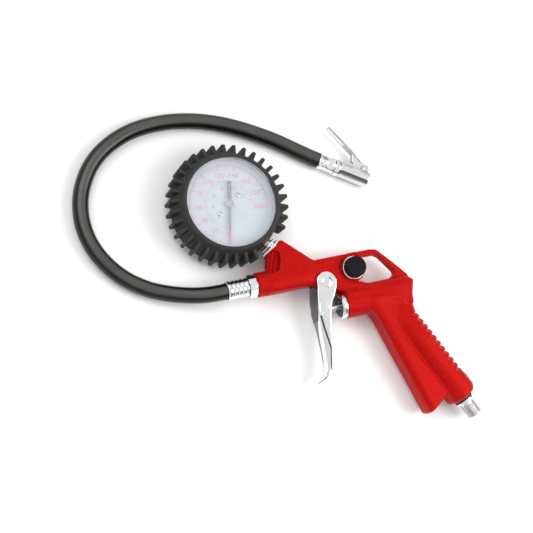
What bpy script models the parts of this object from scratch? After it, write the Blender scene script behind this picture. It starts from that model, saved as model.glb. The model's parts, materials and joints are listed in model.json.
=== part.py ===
"""Tyre inflator with gauge: a cast pistol-grip gun, an 80 mm dial gauge in a rubber boot and a whip hose
with a clip-on chuck, lying on its side.

Design axes: +X runs from the hose end of the barrel to the grip, +Y from the grip up to the gauge and +Z
out of the dial. Design coordinates start at the trigger's pivot, on the gun's middle plane.
"""
import bmesh
import bpy
import math
from mathutils import Matrix, Vector

MM = 0.001
GAP = 0.3 * MM
PHASE = 0.1  # turns the sides of rods and bores, in radians, off the planes of the flat pieces
RUNNING = 0.08 * MM

# Where the design's own origin stands in the world: the gun lies with its middle plane 15 mm up.
DATUM = Vector((2.4, 3.7, 15.0)) * MM

# Gun body
BARREL_Y = 10.3 * MM
BARREL_RADIUS = 10.3 * MM
BARREL_FRONT_X = -58.0 * MM
HEAD_HALF = 9.0 * MM
HOOK_HALF = 4.4 * MM
TANG_HALF = 9.4 * MM
SPINE_HALF = 6.4 * MM
SIDE_HALF = 11.1 * MM
GRIP_HALF = 15.0 * MM
AIR_RADIUS = 2.5 * MM
CHAMBER_Y = -21.3 * MM
CHAMBER_RADIUS = 11.4 * MM
CHAMBER_FACE_X = 13.6 * MM
CHAMBER_BORE = 7.5 * MM
CHAMBER_END_X = 52.0 * MM
LOBE_END = Vector((99.0, -119.5, 0.0)) * MM
LOBE_ANGLE = math.radians(-64.8)
LOBE_HALF_DEPTH = 11.4 * MM
LOBE_LENGTH = 108.0 * MM
SERRATIONS = 11
SERRATION_START = 18.0 * MM
SERRATION_PITCH = 5.93 * MM

# Trigger
PIN_RADIUS = 2.6 * MM
PIVOT_BOSS_RADIUS = 6.4 * MM
EAR_RADIUS = 8.75 * MM
EAR_INNER = 9.4 * MM
EAR_OUTER = 11.0 * MM
SHEET = 1.6 * MM

# Trigger valve, along X
GLAND_RADIUS = 10.0 * MM
GLAND_FACE_X = 9.2 * MM
STEM_RADIUS = 2.5 * MM
STEM_TIP_X = -10.9 * MM

# Bleed valve, along Z
BLEED = Vector((27.0, 7.2, 0.0)) * MM
BLEED_BOSS_RADIUS = 11.4 * MM
BUTTON_RADIUS = 8.15 * MM

# Gauge, about an axis along Z
GAUGE = Vector((-66.3, 80.1, 0.0)) * MM
STEM_ANGLE = math.radians(-55.0)
BOSS_FACE = 52.6 * MM
BOSS_RADIUS = 9.2 * MM
CASE_RADIUS = 40.0 * MM
CARCASS_RADIUS = 45.6 * MM
LUG_RADIUS = 51.2 * MM
LUG_PITCHES = 34
LUGS_LEFT_OUT = 3
PINION_TEETH = 10
SECTOR_TEETH = 50
TOOTH_MODULE = 0.5 * MM
DIAL_SCREW_OFFSET = 11.5 * MM
SECTOR_ARM = 0.5 * TOOTH_MODULE * (PINION_TEETH + SECTOR_TEETH)

# Hose
HOSE_RADIUS = 6.75 * MM
HOSE_START_X = -84.3 * MM
# The hose's middle line, chosen by hand: straight out of the ferrule, down to the surface and round.
HOSE_ROUTE_MM = [
    (-84.3, 10.3, 0.0), (-91.0, 10.3, -0.1), (-99.5, 10.8, -1.0), (-110.0, 12.5, -2.7), (-121.5, 15.7, -4.9),
    (-132.5, 19.7, -6.8), (-143.4, 24.6, -7.9), (-153.6, 30.9, -8.2), (-162.4, 37.9, -8.2),
    (-170.0, 46.2, -8.2), (-176.5, 55.6, -8.2), (-181.6, 66.1, -8.2), (-184.9, 77.4, -8.2),
    (-186.1, 89.4, -8.2), (-185.0, 101.6, -8.2), (-181.8, 113.6, -8.2), (-176.4, 124.8, -8.2),
    (-169.4, 134.8, -8.2), (-161.0, 143.0, -8.2), (-151.4, 149.6, -8.2), (-141.1, 154.8, -8.2),
    (-130.2, 158.6, -8.2), (-118.4, 161.0, -8.2), (-106.1, 162.0, -8.2), (-93.3, 161.9, -8.2),
    (-80.5, 160.5, -8.2), (-67.9, 158.1, -8.2), (-55.7, 154.6, -8.2), (-43.7, 150.2, -8.2),
    (-32.1, 144.9, -8.2), (-20.7, 139.0, -8.2), (-9.4, 132.6, -8.2), (1.6, 125.3, -8.1),
    (12.0, 117.9, -7.8), (21.2, 111.55, -7.5), (27.2, 107.8, -7.5),
]
HOSE_STEPS = 2

# Chuck end, along its own axis from the hose's end
CHUCK_START = Vector((27.2, 107.8, -7.5)) * MM
CHUCK_ANGLE = math.radians(-31.5)
CHUCK_RADIUS = 7.2 * MM
CHUCK_LENGTH = 27.0 * MM
CHUCK_BODY_START = 20.0 * MM
CHUCK_PIVOT = Vector((39.0, 7.4, 0.0)) * MM


# ---------------------------------------------------------------- tools

def clear_scene():
    for thing in list(bpy.data.objects):
        bpy.data.objects.remove(thing, do_unlink=True)


def material(name, colour, roughness, metallic=0.0):
    made = bpy.data.materials.new(name)
    made.use_nodes = True
    shader = made.node_tree.nodes["Principled BSDF"]
    shader.inputs["Base Color"].default_value = (*colour, 1.0)
    shader.inputs["Roughness"].default_value = roughness
    shader.inputs["Metallic"].default_value = metallic
    return made


def at(point):
    """A placement in the world for a design point."""
    return Matrix.Translation(DATUM + Vector(point))


def along(direction):
    """A turn that takes +Z to a direction."""
    return Vector(direction).to_track_quat("Z", "Y").to_matrix().to_4x4()


def turn_z(angle):
    return Matrix.Rotation(angle, 4, "Z")


STEM_DIRECTION = Vector((math.cos(STEM_ANGLE), math.sin(STEM_ANGLE), 0.0))
LOBE_DIRECTION = Vector((math.cos(LOBE_ANGLE), math.sin(LOBE_ANGLE), 0.0))
CHUCK_DIRECTION = Vector((math.cos(CHUCK_ANGLE), math.sin(CHUCK_ANGLE), 0.0))


def finished(mesh_data, name, place, finish):
    """An object made from a bmesh, with its faces facing out."""
    bmesh.ops.recalc_face_normals(mesh_data, faces=mesh_data.faces)
    mesh = bpy.data.meshes.new(name)
    mesh_data.to_mesh(mesh)
    mesh_data.free()
    mesh.shade_smooth()
    mesh.set_sharp_from_angle(angle=math.radians(32))
    thing = bpy.data.objects.new(name, mesh)
    bpy.context.collection.objects.link(thing)
    thing.matrix_world = place
    if finish:
        mesh.materials.append(finish)
    return thing


def skinned(rings, closed_path=False):
    """A bmesh skinned over rings of points, with the end rings filled."""
    made = bmesh.new()
    layers = [[made.verts.new(point) for point in ring] for ring in rings]
    pairs = list(zip(layers, layers[1:]))
    if closed_path:
        pairs.append((layers[-1], layers[0]))
    for low, high in pairs:
        for i in range(len(low)):
            j = (i + 1) % len(low)
            made.faces.new((low[i], low[j], high[j], high[i]))
    if not closed_path:
        made.faces.new(layers[0])
        made.faces.new(layers[-1])
    return made


def turned(profile, segments=24, start=0.0, sweep=math.tau):
    """A bmesh turned about +Z from a closed (radius, height) profile; radius 0 lies on the axis."""
    whole = abs(sweep - math.tau) < 1e-9
    count = segments if whole else segments + 1
    made = bmesh.new()
    rings = []
    for radius, height in profile:
        if radius < 1e-9:
            rings.append([made.verts.new((0.0, 0.0, height))])
            continue
        ring = []
        for i in range(count):
            angle = start + sweep * i / segments
            ring.append(made.verts.new((radius * math.cos(angle), radius * math.sin(angle), height)))
        rings.append(ring)
    for here, following in zip(rings, rings[1:] + rings[:1]):
        if len(here) == 1 and len(following) == 1:
            continue
        for i in range(segments):
            j = (i + 1) % count
            if len(here) == 1:
                made.faces.new((here[0], following[j], following[i]))
            elif len(following) == 1:
                made.faces.new((here[i], here[j], following[0]))
            else:
                made.faces.new((here[i], here[j], following[j], following[i]))
    if not whole:
        made.faces.new([ring[0] for ring in rings])
        made.faces.new([ring[-1] for ring in rings])
    return made


def prism(outline, low, high):
    """A bmesh of a flat outline in XY, given in metres, raised from low to high."""
    rings = [[Vector((x, y, z)) for x, y in outline] for z in (low, high)]
    return skinned(rings)


def rod(radius, low, high, segments=24):
    return turned([(0.0, low), (radius, low), (radius, high), (0.0, high)], segments, PHASE)


def stepped(steps, segments=24):
    """A stepped rod for a bore of several sizes, from (radius, from, to) in millimetres."""
    profile = [(0.0, steps[0][1] * MM)]
    for radius, low, high in steps:
        profile += [(radius * MM, low * MM), (radius * MM, high * MM)]
    profile.append((0.0, steps[-1][2] * MM))
    return turned(profile, segments, PHASE)


def hexagon(across_flats, low, high):
    radius = across_flats / math.sqrt(3.0)
    return turned([(0.0, low), (radius, low), (radius, high), (0.0, high)], 6)


def millimetres(points):
    return [(x * MM, y * MM) for x, y in points]


def arc(centre, radius, start, end, steps):
    """Points round an arc in XY, from one angle to another, in degrees."""
    points = []
    for i in range(steps + 1):
        angle = math.radians(start + (end - start) * i / steps)
        points.append((centre[0] + radius * math.cos(angle), centre[1] + radius * math.sin(angle)))
    return points


def boolean(target, tool, operation):
    """Keeps live Booleans on the target, one for each run of joins or cuts, and hides the tool."""
    last = target.modifiers[-1] if target.modifiers else None
    if last is None or last.type != "BOOLEAN" or last.operation != operation:
        last = target.modifiers.new(operation.lower(), "BOOLEAN")
        last.operation = operation
        last.solver = "EXACT"
        last.operand_type = "COLLECTION"
        last.collection = bpy.data.collections.new(f"{target.name}_{operation.lower()}")
    last.collection.objects.link(tool)
    tool.hide_render = True
    tool.display_type = "WIRE"


def join(target, mesh_data, label, place=None):
    tool = finished(mesh_data, f"{target.name}_with_{label}", place or at((0, 0, 0)), None)
    boolean(target, tool, "UNION")
    return tool


def cut(target, mesh_data, label, place=None):
    tool = finished(mesh_data, f"{target.name}_cut_{label}", place or at((0, 0, 0)), None)
    boolean(target, tool, "DIFFERENCE")
    return tool


def bevel(thing, width, segments=2):
    step = thing.modifiers.new("edges", "BEVEL")
    step.width = width
    step.segments = segments
    step.limit_method = "ANGLE"
    step.angle_limit = math.radians(40)


def coil(name, radius, wire_radius, length, turns, place, finish):
    """A round-wire compression spring along +Z from the origin."""
    steps = int(turns * 9)
    shape = bpy.data.curves.new(name, "CURVE")
    shape.dimensions = "3D"
    shape.bevel_depth = wire_radius
    shape.bevel_resolution = 0
    shape.use_fill_caps = True
    line = shape.splines.new("POLY")
    line.points.add(steps)
    for i, point in enumerate(line.points):
        angle = math.tau * turns * i / steps
        height = wire_radius + (length - 2 * wire_radius) * i / steps
        point.co = (radius * math.cos(angle), radius * math.sin(angle), height, 1.0)
    spring = bpy.data.objects.new(name, shape)
    shape.materials.append(finish)
    bpy.context.collection.objects.link(spring)
    spring.matrix_world = place
    return spring


# ---------------------------------------------------------------- gun body

def head_outline():
    """The flat-sided head: gauge boss, top bar, pivot boss and the top of the valve chamber."""
    boss_face = GAUGE + STEM_DIRECTION * BOSS_FACE
    across = Vector((-STEM_DIRECTION.y, STEM_DIRECTION.x, 0.0)) * BOSS_RADIUS
    right, left = boss_face + across, boss_face - across
    outline = [(left.x, left.y), (right.x, right.y)]
    outline += millimetres([(-5.5, 20.6), (36.0, 20.6), (38.5, -29.0), (15.4, -29.0), (14.2, -10.5)])
    outline += arc((0.0, 0.0), PIVOT_BOSS_RADIUS, -50.0, -175.0, 8)
    outline += millimetres([(-9.2, 0.9), (-50.0, 0.9), (-50.0, 15.0), (-46.4, 19.0), (-45.6, 24.0)])
    return outline


def grip_side_outline():
    """The front lobe of the grip, from the valve chamber down to the toe."""
    return millimetres([
        (34.6, -29.0), (39.3, -37.6), (50.6, -80.6), (62.5, -124.6), (64.2, -125.7), (67.4, -124.6),
        (80.8, -116.0), (88.0, -110.0), (76.0, -60.0), (62.0, -22.0), (36.0, -20.0),
    ])


def hook_outline():
    """The hanging hook: the thin loop behind the bleed valve."""
    return millimetres([
        (26.0, 21.2), (48.0, 21.2), (54.5, 19.8), (66.2, 6.6), (77.0, -6.4), (78.6, -13.0),
        (76.0, -20.0), (60.0, -20.0), (28.0, -14.0),
    ])


def tang_outline():
    return millimetres([
        (34.0, -7.6), (66.0, -7.6), (74.8, -8.4), (76.9, -13.4), (73.4, -24.5), (73.0, -36.0),
        (70.0, -48.0), (52.0, -48.0), (34.0, -24.0),
    ])


def window_outline():
    return millimetres([
        (30.0, -4.6), (35.5, -7.0), (60.0, -7.0), (65.4, -4.2), (65.6, -1.2), (55.6, 13.4),
        (51.5, 15.9), (30.0, 15.9),
    ])


def spine_outline():
    """The serrated backstrap: saw teeth on the rear lobe that face down the grip."""
    crest = LOBE_HALF_DEPTH + 0.9 * MM
    root = crest - 1.3 * MM
    points = [(0.0, SERRATION_START), (root, SERRATION_START)]
    for i in range(SERRATIONS):
        low = SERRATION_START + i * SERRATION_PITCH
        points += [(crest, low + 0.2 * SERRATION_PITCH), (crest, low + 0.5 * SERRATION_PITCH),
                   (root, low + 0.9 * SERRATION_PITCH)]
    points.append((0.0, SERRATION_START + SERRATIONS * SERRATION_PITCH))
    return points


def lobe_rings():
    """Sections of the rear lobe: ovals with flats where the grip lies on its side."""
    rings = []
    stations = [(-1.0, 0.9, 11.0), (-0.84, 0.98, 14.0), (-0.6, 1.0, 15.4), (-0.18, 1.0, 15.4),
                (-0.13, 1.13, 15.4), (-0.045, 1.09, 14.6), (0.0, 0.92, 11.0)]
    for share, depth, half_width in stations:
        ring = []
        for i in range(24):
            angle = math.tau * (i + 0.5) / 24
            across = half_width * MM * math.sin(angle)
            across = max(-GRIP_HALF, min(GRIP_HALF, across))
            ring.append(Vector((depth * LOBE_HALF_DEPTH * math.cos(angle), -share * LOBE_LENGTH, across)))
        rings.append(ring)
    return rings


def lobe_place():
    """The rear lobe's own axes: -Y runs down its middle line to the air inlet, +X to the backstrap."""
    return at(LOBE_END) @ turn_z(LOBE_ANGLE + math.radians(90.0))


def build_body(paint):
    body = finished(prism(head_outline(), -HEAD_HALF, HEAD_HALF), "body_casting", at((0, 0, 0)), paint)
    bevel(body, 1.6 * MM, 1)
    barrel = rod(BARREL_RADIUS, 0.0, 46.0 * MM, 28)
    join(body, barrel, "barrel", at((BARREL_FRONT_X, BARREL_Y, 0)) @ along((1, 0, 0)))
    boss_start = GAUGE + STEM_DIRECTION * BOSS_FACE
    boss = rod(BOSS_RADIUS + 0.4 * MM, -0.5 * MM, 27.0 * MM, 24)
    join(body, boss, "gauge_boss", at(boss_start) @ along(STEM_DIRECTION))
    join(body, prism(hook_outline(), -HOOK_HALF, HOOK_HALF), "hook")
    chamber = rod(CHAMBER_RADIUS, 0.0, 46.0 * MM, 32)
    join(body, chamber, "valve_chamber", at((CHAMBER_FACE_X, CHAMBER_Y, 0)) @ along((1, 0, 0)))
    bevel(join(body, prism(tang_outline(), -TANG_HALF, TANG_HALF), "tang"), 3.0 * MM)
    bevel(join(body, prism(grip_side_outline(), -SIDE_HALF, SIDE_HALF), "front_lobe"), 4.0 * MM)
    lobe_bmesh = skinned(lobe_rings())
    join(body, lobe_bmesh, "rear_lobe", lobe_place())
    join(body, prism(spine_outline(), -SPINE_HALF, SPINE_HALF), "backstrap", lobe_place())
    window = cut(body, prism(window_outline(), -20.0 * MM, 20.0 * MM), "window")
    boss_round = rod(BLEED_BOSS_RADIUS, -21.0 * MM, 21.0 * MM, 32)
    cut(window, boss_round, "bleed_boss", at(BLEED))
    bore_body(body)
    return body


def bore_body(body):
    """The drilled and tapped bores, one after another along the air's way."""
    along_x = along((1, 0, 0))
    hose_way = stepped([(6.3, -2.0, 11.0), (AIR_RADIUS / MM, 11.0, 84.0)])
    cut(body, hose_way, "hose_way", at((BARREL_FRONT_X, BARREL_Y, 0)) @ along_x)
    gauge_face = GAUGE + STEM_DIRECTION * BOSS_FACE
    gauge_way = stepped([(5.3, -2.0, 11.0), (1.6, 11.0, 33.0)])
    cut(body, gauge_way, "gauge_way", at(gauge_face) @ along(STEM_DIRECTION))
    cut(body, rod(PIN_RADIUS + RUNNING, -20.0 * MM, 20.0 * MM, 20), "pivot_bore")
    cut(body, stepped([(5.0, -6.0, 3.2), (6.5, 3.2, 20.0)]), "bleed_way", at(BLEED))
    chamber_place = at((CHAMBER_FACE_X, CHAMBER_Y, 0)) @ along_x
    cut(body, rod(CHAMBER_BORE, -2.0 * MM, CHAMBER_END_X - CHAMBER_FACE_X), "valve_bore", chamber_place)
    low, high = Vector((23.0, -18.0, 0.0)) * MM, Vector((15.5, 10.3, 0.0)) * MM
    cut(body, rod(1.9 * MM, 0.0, (high - low).length, 12), "rising_bore", at(low) @ along(high - low))
    inlet_way = stepped([(6.4, -2.0, 13.0), (3.0, 13.0, 107.0)])
    cut(body, inlet_way, "inlet_way", at(LOBE_END) @ along(-LOBE_DIRECTION))


# ---------------------------------------------------------------- trigger

# The trigger's sections from the pivot down to the hooked tip: the front line's x and y, how far the
# sides reach back and which way (degrees), half the width, and the corners' radius, in mm and degrees.
TRIGGER_STATIONS = [
    (-8.6, -0.9, 13.0, 0.0, 11.0, 2.4), (-10.6, -8.5, 13.6, 0.0, 11.0, 2.4),
    (-12.2, -16.0, 12.6, 0.0, 11.0, 2.4), (-13.7, -24.0, 11.2, 0.0, 11.0, 2.6),
    (-14.5, -30.0, 10.2, 0.0, 10.8, 3.2), (-15.4, -42.0, 8.4, 2.0, 10.6, 3.8),
    (-16.1, -54.0, 6.6, 3.0, 10.4, 4.2), (-16.8, -64.0, 5.2, 4.0, 10.2, 4.0),
    (-18.0, -71.0, 4.4, -14.0, 10.0, 3.6), (-20.6, -75.6, 3.6, -38.0, 9.6, 3.0),
    (-24.4, -78.6, 3.0, -58.0, 8.8, 2.4), (-28.4, -80.2, 2.4, -70.0, 7.6, 1.8),
]


def channel_section(x, y, reach, lean, half, corner):
    """A U section, open to the rear: down the outside from +Z to -Z and back along the inside."""
    back = Vector((math.cos(math.radians(lean)), math.sin(math.radians(lean)), 0.0))
    side = Vector((0.0, 0.0, 1.0))
    start = Vector((x, y, 0.0))
    points = []
    for inset, order in ((0.0, 1), (SHEET / MM, -1)):
        radius = max(corner - inset, 0.3)
        run = [(reach, half - inset), (inset + radius, half - inset)]
        for step in range(1, 4):
            angle = math.radians(90.0 * step / 3)
            run.append((inset + radius - radius * math.sin(angle), half - inset - radius + radius * math.cos(angle)))
        run += [(depth, -width) for depth, width in reversed(run)]
        run = run[::order]
        points += [(start + back * depth + side * width) * MM for depth, width in run]
    return points


def build_trigger(chrome, steel):
    rings = [channel_section(*station) for station in TRIGGER_STATIONS]
    trigger = finished(skinned(rings), "trigger_lever", at((0, 0, 0)), chrome)
    ear = arc((0.0, 0.0), EAR_RADIUS, -30.0, 186.0, 16)
    ear += millimetres([(-9.4, -4.0), (-8.0, -9.0), (-6.0, -14.0), (-1.0, -15.0), (3.4, -12.6)])
    for label, low, high in (("near", EAR_INNER, EAR_OUTER), ("far", -EAR_OUTER, -EAR_INNER)):
        join(trigger, prism(ear, low, high), f"{label}_ear")
        cut(trigger, rod(PIN_RADIUS + GAP, low - 1.0 * MM, high + 1.0 * MM, 20), f"{label}_hole")
    end = EAR_OUTER + GAP
    pin = [(0.0, -end - 1.4 * MM), (PIN_RADIUS - 0.5 * MM, -end - 1.4 * MM), (PIN_RADIUS, -end),
           (PIN_RADIUS, end), (5.6 * MM, end), (5.2 * MM, end + 0.9 * MM), (3.4 * MM, end + 1.7 * MM),
           (0.0, end + 2.0 * MM)]
    finished(turned(pin, 20), "trigger_pin", at((0, 0, 0)), chrome)
    clip = [(PIN_RADIUS + 0.05 * MM, -end - 0.9 * MM), (5.2 * MM, -end - 0.9 * MM), (5.2 * MM, -end),
            (PIN_RADIUS + 0.05 * MM, -end)]
    finished(turned(clip, 20), "pin_retaining_ring", at((0, 0, 0)), steel)


# ---------------------------------------------------------------- trigger valve

def build_trigger_valve(chrome, brass, rubber, steel):
    axis = at((0, CHAMBER_Y, 0)) @ along((1, 0, 0))
    face, thread = CHAMBER_FACE_X - GAP, CHAMBER_BORE - GAP
    bore = STEM_RADIUS + RUNNING
    gland = [(bore, GLAND_FACE_X), (8.6 * MM, GLAND_FACE_X), (GLAND_RADIUS, GLAND_FACE_X + 1.2 * MM),
             (GLAND_RADIUS, face), (thread, face), (thread, 21.0 * MM), (bore, 21.0 * MM)]
    finished(turned(gland, 28), "valve_gland_nut", axis, chrome)
    seal = [(STEM_RADIUS + GAP, 21.3 * MM), (6.6 * MM, 21.3 * MM), (6.6 * MM, 23.2 * MM),
            (STEM_RADIUS + GAP, 23.2 * MM)]
    finished(turned(seal, 20), "gland_seal", axis, rubber)
    seat = [(3.4 * MM, 25.0 * MM), (thread, 25.0 * MM), (thread, 29.0 * MM), (4.2 * MM, 29.0 * MM),
            (3.4 * MM, 28.2 * MM)]
    finished(turned(seat, 24), "valve_seat", axis, brass)
    stem = [(0.0, STEM_TIP_X), (1.6 * MM, STEM_TIP_X + 0.3 * MM), (STEM_RADIUS, STEM_TIP_X + 1.4 * MM),
            (STEM_RADIUS, 23.6 * MM), (1.5 * MM, 24.6 * MM), (1.5 * MM, 34.6 * MM), (0.0, 34.6 * MM)]
    finished(turned(stem, 16), "valve_stem", axis, steel)
    poppet = [(1.6 * MM, 29.3 * MM), (5.4 * MM, 29.3 * MM), (5.4 * MM, 31.0 * MM), (1.6 * MM, 31.0 * MM)]
    finished(turned(poppet, 20), "poppet_seal", axis, rubber)
    cup = [(1.6 * MM, 31.3 * MM), (6.0 * MM, 31.3 * MM), (6.0 * MM, 33.2 * MM), (3.2 * MM, 33.2 * MM),
           (3.2 * MM, 34.2 * MM), (1.6 * MM, 34.2 * MM)]
    finished(turned(cup, 20), "poppet_cup", axis, brass)
    coil("valve_spring", 4.6 * MM, 0.5 * MM, 17.6 * MM, 6.0,
         at((33.6 * MM, CHAMBER_Y, 0)) @ along((1, 0, 0)), steel)


# ---------------------------------------------------------------- bleed valve

def build_bleed_valve(chrome, black, rubber, steel):
    axis = at(BLEED)
    floor, rim = HEAD_HALF + 1.2 * MM, HEAD_HALF + 4.2 * MM
    body = [(1.58 * MM, 3.6 * MM), (6.2 * MM, 3.6 * MM), (6.2 * MM, HEAD_HALF + GAP),
            (10.0 * MM, HEAD_HALF + GAP), (10.0 * MM, rim - 0.6 * MM), (9.4 * MM, rim),
            (BUTTON_RADIUS + GAP, rim), (BUTTON_RADIUS + GAP, floor), (1.58 * MM, floor)]
    finished(turned(body, 30), "bleed_valve_body", axis, chrome)
    low, high = rim - 0.2 * MM, rim + 4.0 * MM
    button = [(0.0, low), (BUTTON_RADIUS, low), (BUTTON_RADIUS, high - 0.9 * MM),
              (BUTTON_RADIUS - 0.9 * MM, high), (0.0, high)]
    finished(turned(button, 28), "bleed_button", axis, black)
    stem = [(0.0, 0.4 * MM), (1.2 * MM, 0.4 * MM), (1.2 * MM, 1.2 * MM), (1.2 * MM, 3.2 * MM),
            (1.5 * MM, 3.2 * MM), (1.5 * MM, low - GAP), (0.0, low - GAP)]
    finished(turned(stem, 14), "bleed_stem", axis, steel)
    seal = [(1.5 * MM, 1.5 * MM), (3.9 * MM, 1.5 * MM), (3.9 * MM, 2.9 * MM), (1.5 * MM, 2.9 * MM)]
    finished(turned(seal, 16), "bleed_seal", axis, rubber)
    coil("bleed_spring", 3.1 * MM, 0.35 * MM, 6.6 * MM, 5.0, at(BLEED + Vector((0, 0, -5.6 * MM))), steel)


# ---------------------------------------------------------------- hose, inlet and chuck

def build_hose_end(chrome, brass):
    axis = at((BARREL_FRONT_X, BARREL_Y, 0)) @ along((-1, 0, 0))
    nut = finished(hexagon(17.0 * MM, GAP, 7.4 * MM), "hose_fitting", axis, chrome)
    bevel(nut, 0.6 * MM, 1)
    join(nut, rod(6.0 * MM, -9.0 * MM, 3.0 * MM), "spigot", axis)
    join(nut, rod(4.0 * MM, 6.0 * MM, 25.4 * MM, 16), "barb", axis)
    cut(nut, rod(2.2 * MM, -12.0 * MM, 30.0 * MM, 16), "way", axis)
    start, end = 7.7 * MM, BARREL_FRONT_X - HOSE_START_X - GAP
    ferrule = [(4.3 * MM, start), (7.7 * MM, start), (8.0 * MM, start + 0.8 * MM)]
    for groove in (6.0, 11.0):
        middle = start + groove * MM
        ferrule += [(8.0 * MM, middle - 1.2 * MM), (7.4 * MM, middle - 0.5 * MM),
                    (7.4 * MM, middle + 0.5 * MM), (8.0 * MM, middle + 1.2 * MM)]
    ferrule += [(8.0 * MM, end - 0.8 * MM), (7.7 * MM, end), (4.3 * MM, end)]
    finished(turned(ferrule, 20), "hose_ferrule", axis, chrome)


def smooth_route(points, steps):
    """Points on a smooth curve through a route, with the route's own points among them."""
    route = [Vector(point) for point in points]
    route = [2 * route[0] - route[1]] + route + [2 * route[-1] - route[-2]]
    smooth = []
    for before, start, end, after in zip(route, route[1:], route[2:], route[3:]):
        for i in range(steps):
            t = i / steps
            smooth.append(0.5 * (2 * start + (end - before) * t
                                 + (2 * before - 5 * start + 4 * end - after) * t * t
                                 + (3 * start - before - 3 * end + after) * t ** 3))
    smooth.append(route[-2])
    return smooth


def build_hose(rubber):
    points = smooth_route(HOSE_ROUTE_MM, HOSE_STEPS)
    shape = bpy.data.curves.new("air_hose", "CURVE")
    shape.dimensions = "3D"
    shape.bevel_depth = HOSE_RADIUS
    shape.bevel_resolution = 2
    shape.use_fill_caps = True
    line = shape.splines.new("POLY")
    line.points.add(len(points) - 1)
    for place, point in zip(line.points, points):
        place.co = (*(point * MM), 1.0)
    hose = bpy.data.objects.new("air_hose", shape)
    shape.materials.append(rubber)
    bpy.context.collection.objects.link(hose)
    hose.matrix_world = at((0, 0, 0))


def build_inlet(chrome, rubber):
    axis = at(LOBE_END) @ along(LOBE_DIRECTION)
    washer = [(6.4 * MM, GAP), (9.2 * MM, GAP), (9.2 * MM, 1.8 * MM), (6.4 * MM, 1.8 * MM)]
    finished(turned(washer, 24), "inlet_washer", axis, rubber)
    nipple = finished(hexagon(14.0 * MM, 2.1 * MM, 8.0 * MM), "inlet_nipple", axis, chrome)
    bevel(nipple, 0.5 * MM, 1)
    join(nipple, rod(6.0 * MM, -11.0 * MM, 4.0 * MM), "thread_in_grip", axis)
    join(nipple, rod(6.6 * MM, 7.0 * MM, 18.2 * MM), "free_thread", axis)
    cut(nipple, rod(4.0 * MM, -13.0 * MM, 20.0 * MM, 16), "way", axis)


def chuck_place(along_axis=0.0, up=0.0):
    """The chuck's own axes: +X runs out of its mouth, +Y to the thumb lever."""
    return at(CHUCK_START) @ turn_z(CHUCK_ANGLE) @ Matrix.Translation((along_axis, up, 0.0))


def build_chuck(chrome, brass, rubber, steel):
    line = chuck_place() @ along((1, 0, 0))
    ferrule = [(3.6 * MM, GAP), (7.0 * MM, GAP), (7.0 * MM, 3.0 * MM), (6.5 * MM, 4.0 * MM),
               (6.5 * MM, 13.0 * MM), (6.8 * MM, 14.0 * MM), (6.8 * MM, 15.0 * MM), (3.6 * MM, 15.0 * MM)]
    finished(turned(ferrule, 18), "chuck_ferrule", line, chrome)
    stem = finished(rod(7.3 * MM, 15.3 * MM, 19.6 * MM, 24), "chuck_hose_fitting", line, chrome)
    join(stem, rod(3.3 * MM, 1.2 * MM, 17.0 * MM, 16), "barb", line)
    join(stem, rod(4.6 * MM, 17.0 * MM, 25.0 * MM, 16), "thread", line)
    cut(stem, rod(1.8 * MM, 0.0, 30.0 * MM, 12), "way", line)
    start, end = CHUCK_BODY_START, CHUCK_BODY_START + CHUCK_LENGTH
    body = finished(rod(CHUCK_RADIUS, start, end, 28), "chuck_body", line, chrome)
    cheeks = millimetres([(33.5, 0.0), (44.0, 0.0), (44.0, 8.6), (42.0, 10.2), (36.6, 10.2), (33.5, 7.0)])
    join(body, prism(cheeks, -5.2 * MM, 5.2 * MM), "lever_cheeks", chuck_place())
    way = stepped([(4.9, 19.0, 26.0), (1.8, 26.0, 33.0), (5.0, 33.0, 48.0)], 20)
    cut(body, way, "way", line)
    slot = millimetres([(26.8, 3.2), (48.0, 3.2), (48.0, 12.0), (26.8, 12.0)])
    cut(body, prism(slot, -2.6 * MM, 2.6 * MM), "lever_slot", chuck_place())
    pivot = chuck_place(CHUCK_PIVOT.x, CHUCK_PIVOT.y)
    cut(body, rod(1.3 * MM, -8.0 * MM, 8.0 * MM, 14), "lever_bore", pivot)
    finished(rod(1.22 * MM, -5.6 * MM, 5.6 * MM, 14), "chuck_lever_pin", pivot, steel)
    seal = [(1.9 * MM, 33.3 * MM), (4.7 * MM, 33.3 * MM), (4.7 * MM, 36.6 * MM), (1.9 * MM, 36.6 * MM)]
    finished(turned(seal, 18), "chuck_seal", line, rubber)
    pusher = finished(rod(1.1 * MM, 27.0 * MM, 39.0 * MM, 12), "valve_core_depressor", line, brass)
    join(pusher, rod(1.5 * MM, 27.0 * MM, 29.0 * MM, 12), "foot", line)
    build_chuck_lever(chrome, steel)


def build_chuck_lever(chrome, steel):
    """The thumb lever, drawn round its own pivot: a sloping plate, two side wings and the claw."""
    pivot = chuck_place(CHUCK_PIVOT.x, CHUCK_PIVOT.y)
    web = millimetres([
        (-39.6, 23.8), (-38.9, 24.7), (-12.6, 11.6), (3.4, 3.2), (4.6, 0.6), (5.6, -3.4), (3.8, -4.0),
        (1.6, -1.6), (-2.6, -1.4), (-10.0, 2.4), (-12.0, 10.0),
    ])
    lever = finished(prism(web, -2.2 * MM, 2.2 * MM), "chuck_lever", pivot, chrome)
    plate = millimetres([(-39.6, 23.8), (-38.9, 24.7), (-12.6, 11.6), (-2.0, 6.0), (-2.6, 4.9), (-13.2, 10.6)])
    join(lever, prism(plate, -4.4 * MM, 4.4 * MM), "thumb_plate", pivot)
    cut(lever, rod(1.32 * MM, -8.0 * MM, 8.0 * MM, 14), "bore", pivot)
    coil("chuck_lever_spring", 1.5 * MM, 0.3 * MM, 5.0 * MM, 4.0,
         chuck_place(29.6 * MM, 3.5 * MM) @ along((0.0, 1.0, 0.0)), steel)


# ---------------------------------------------------------------- gauge

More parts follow.
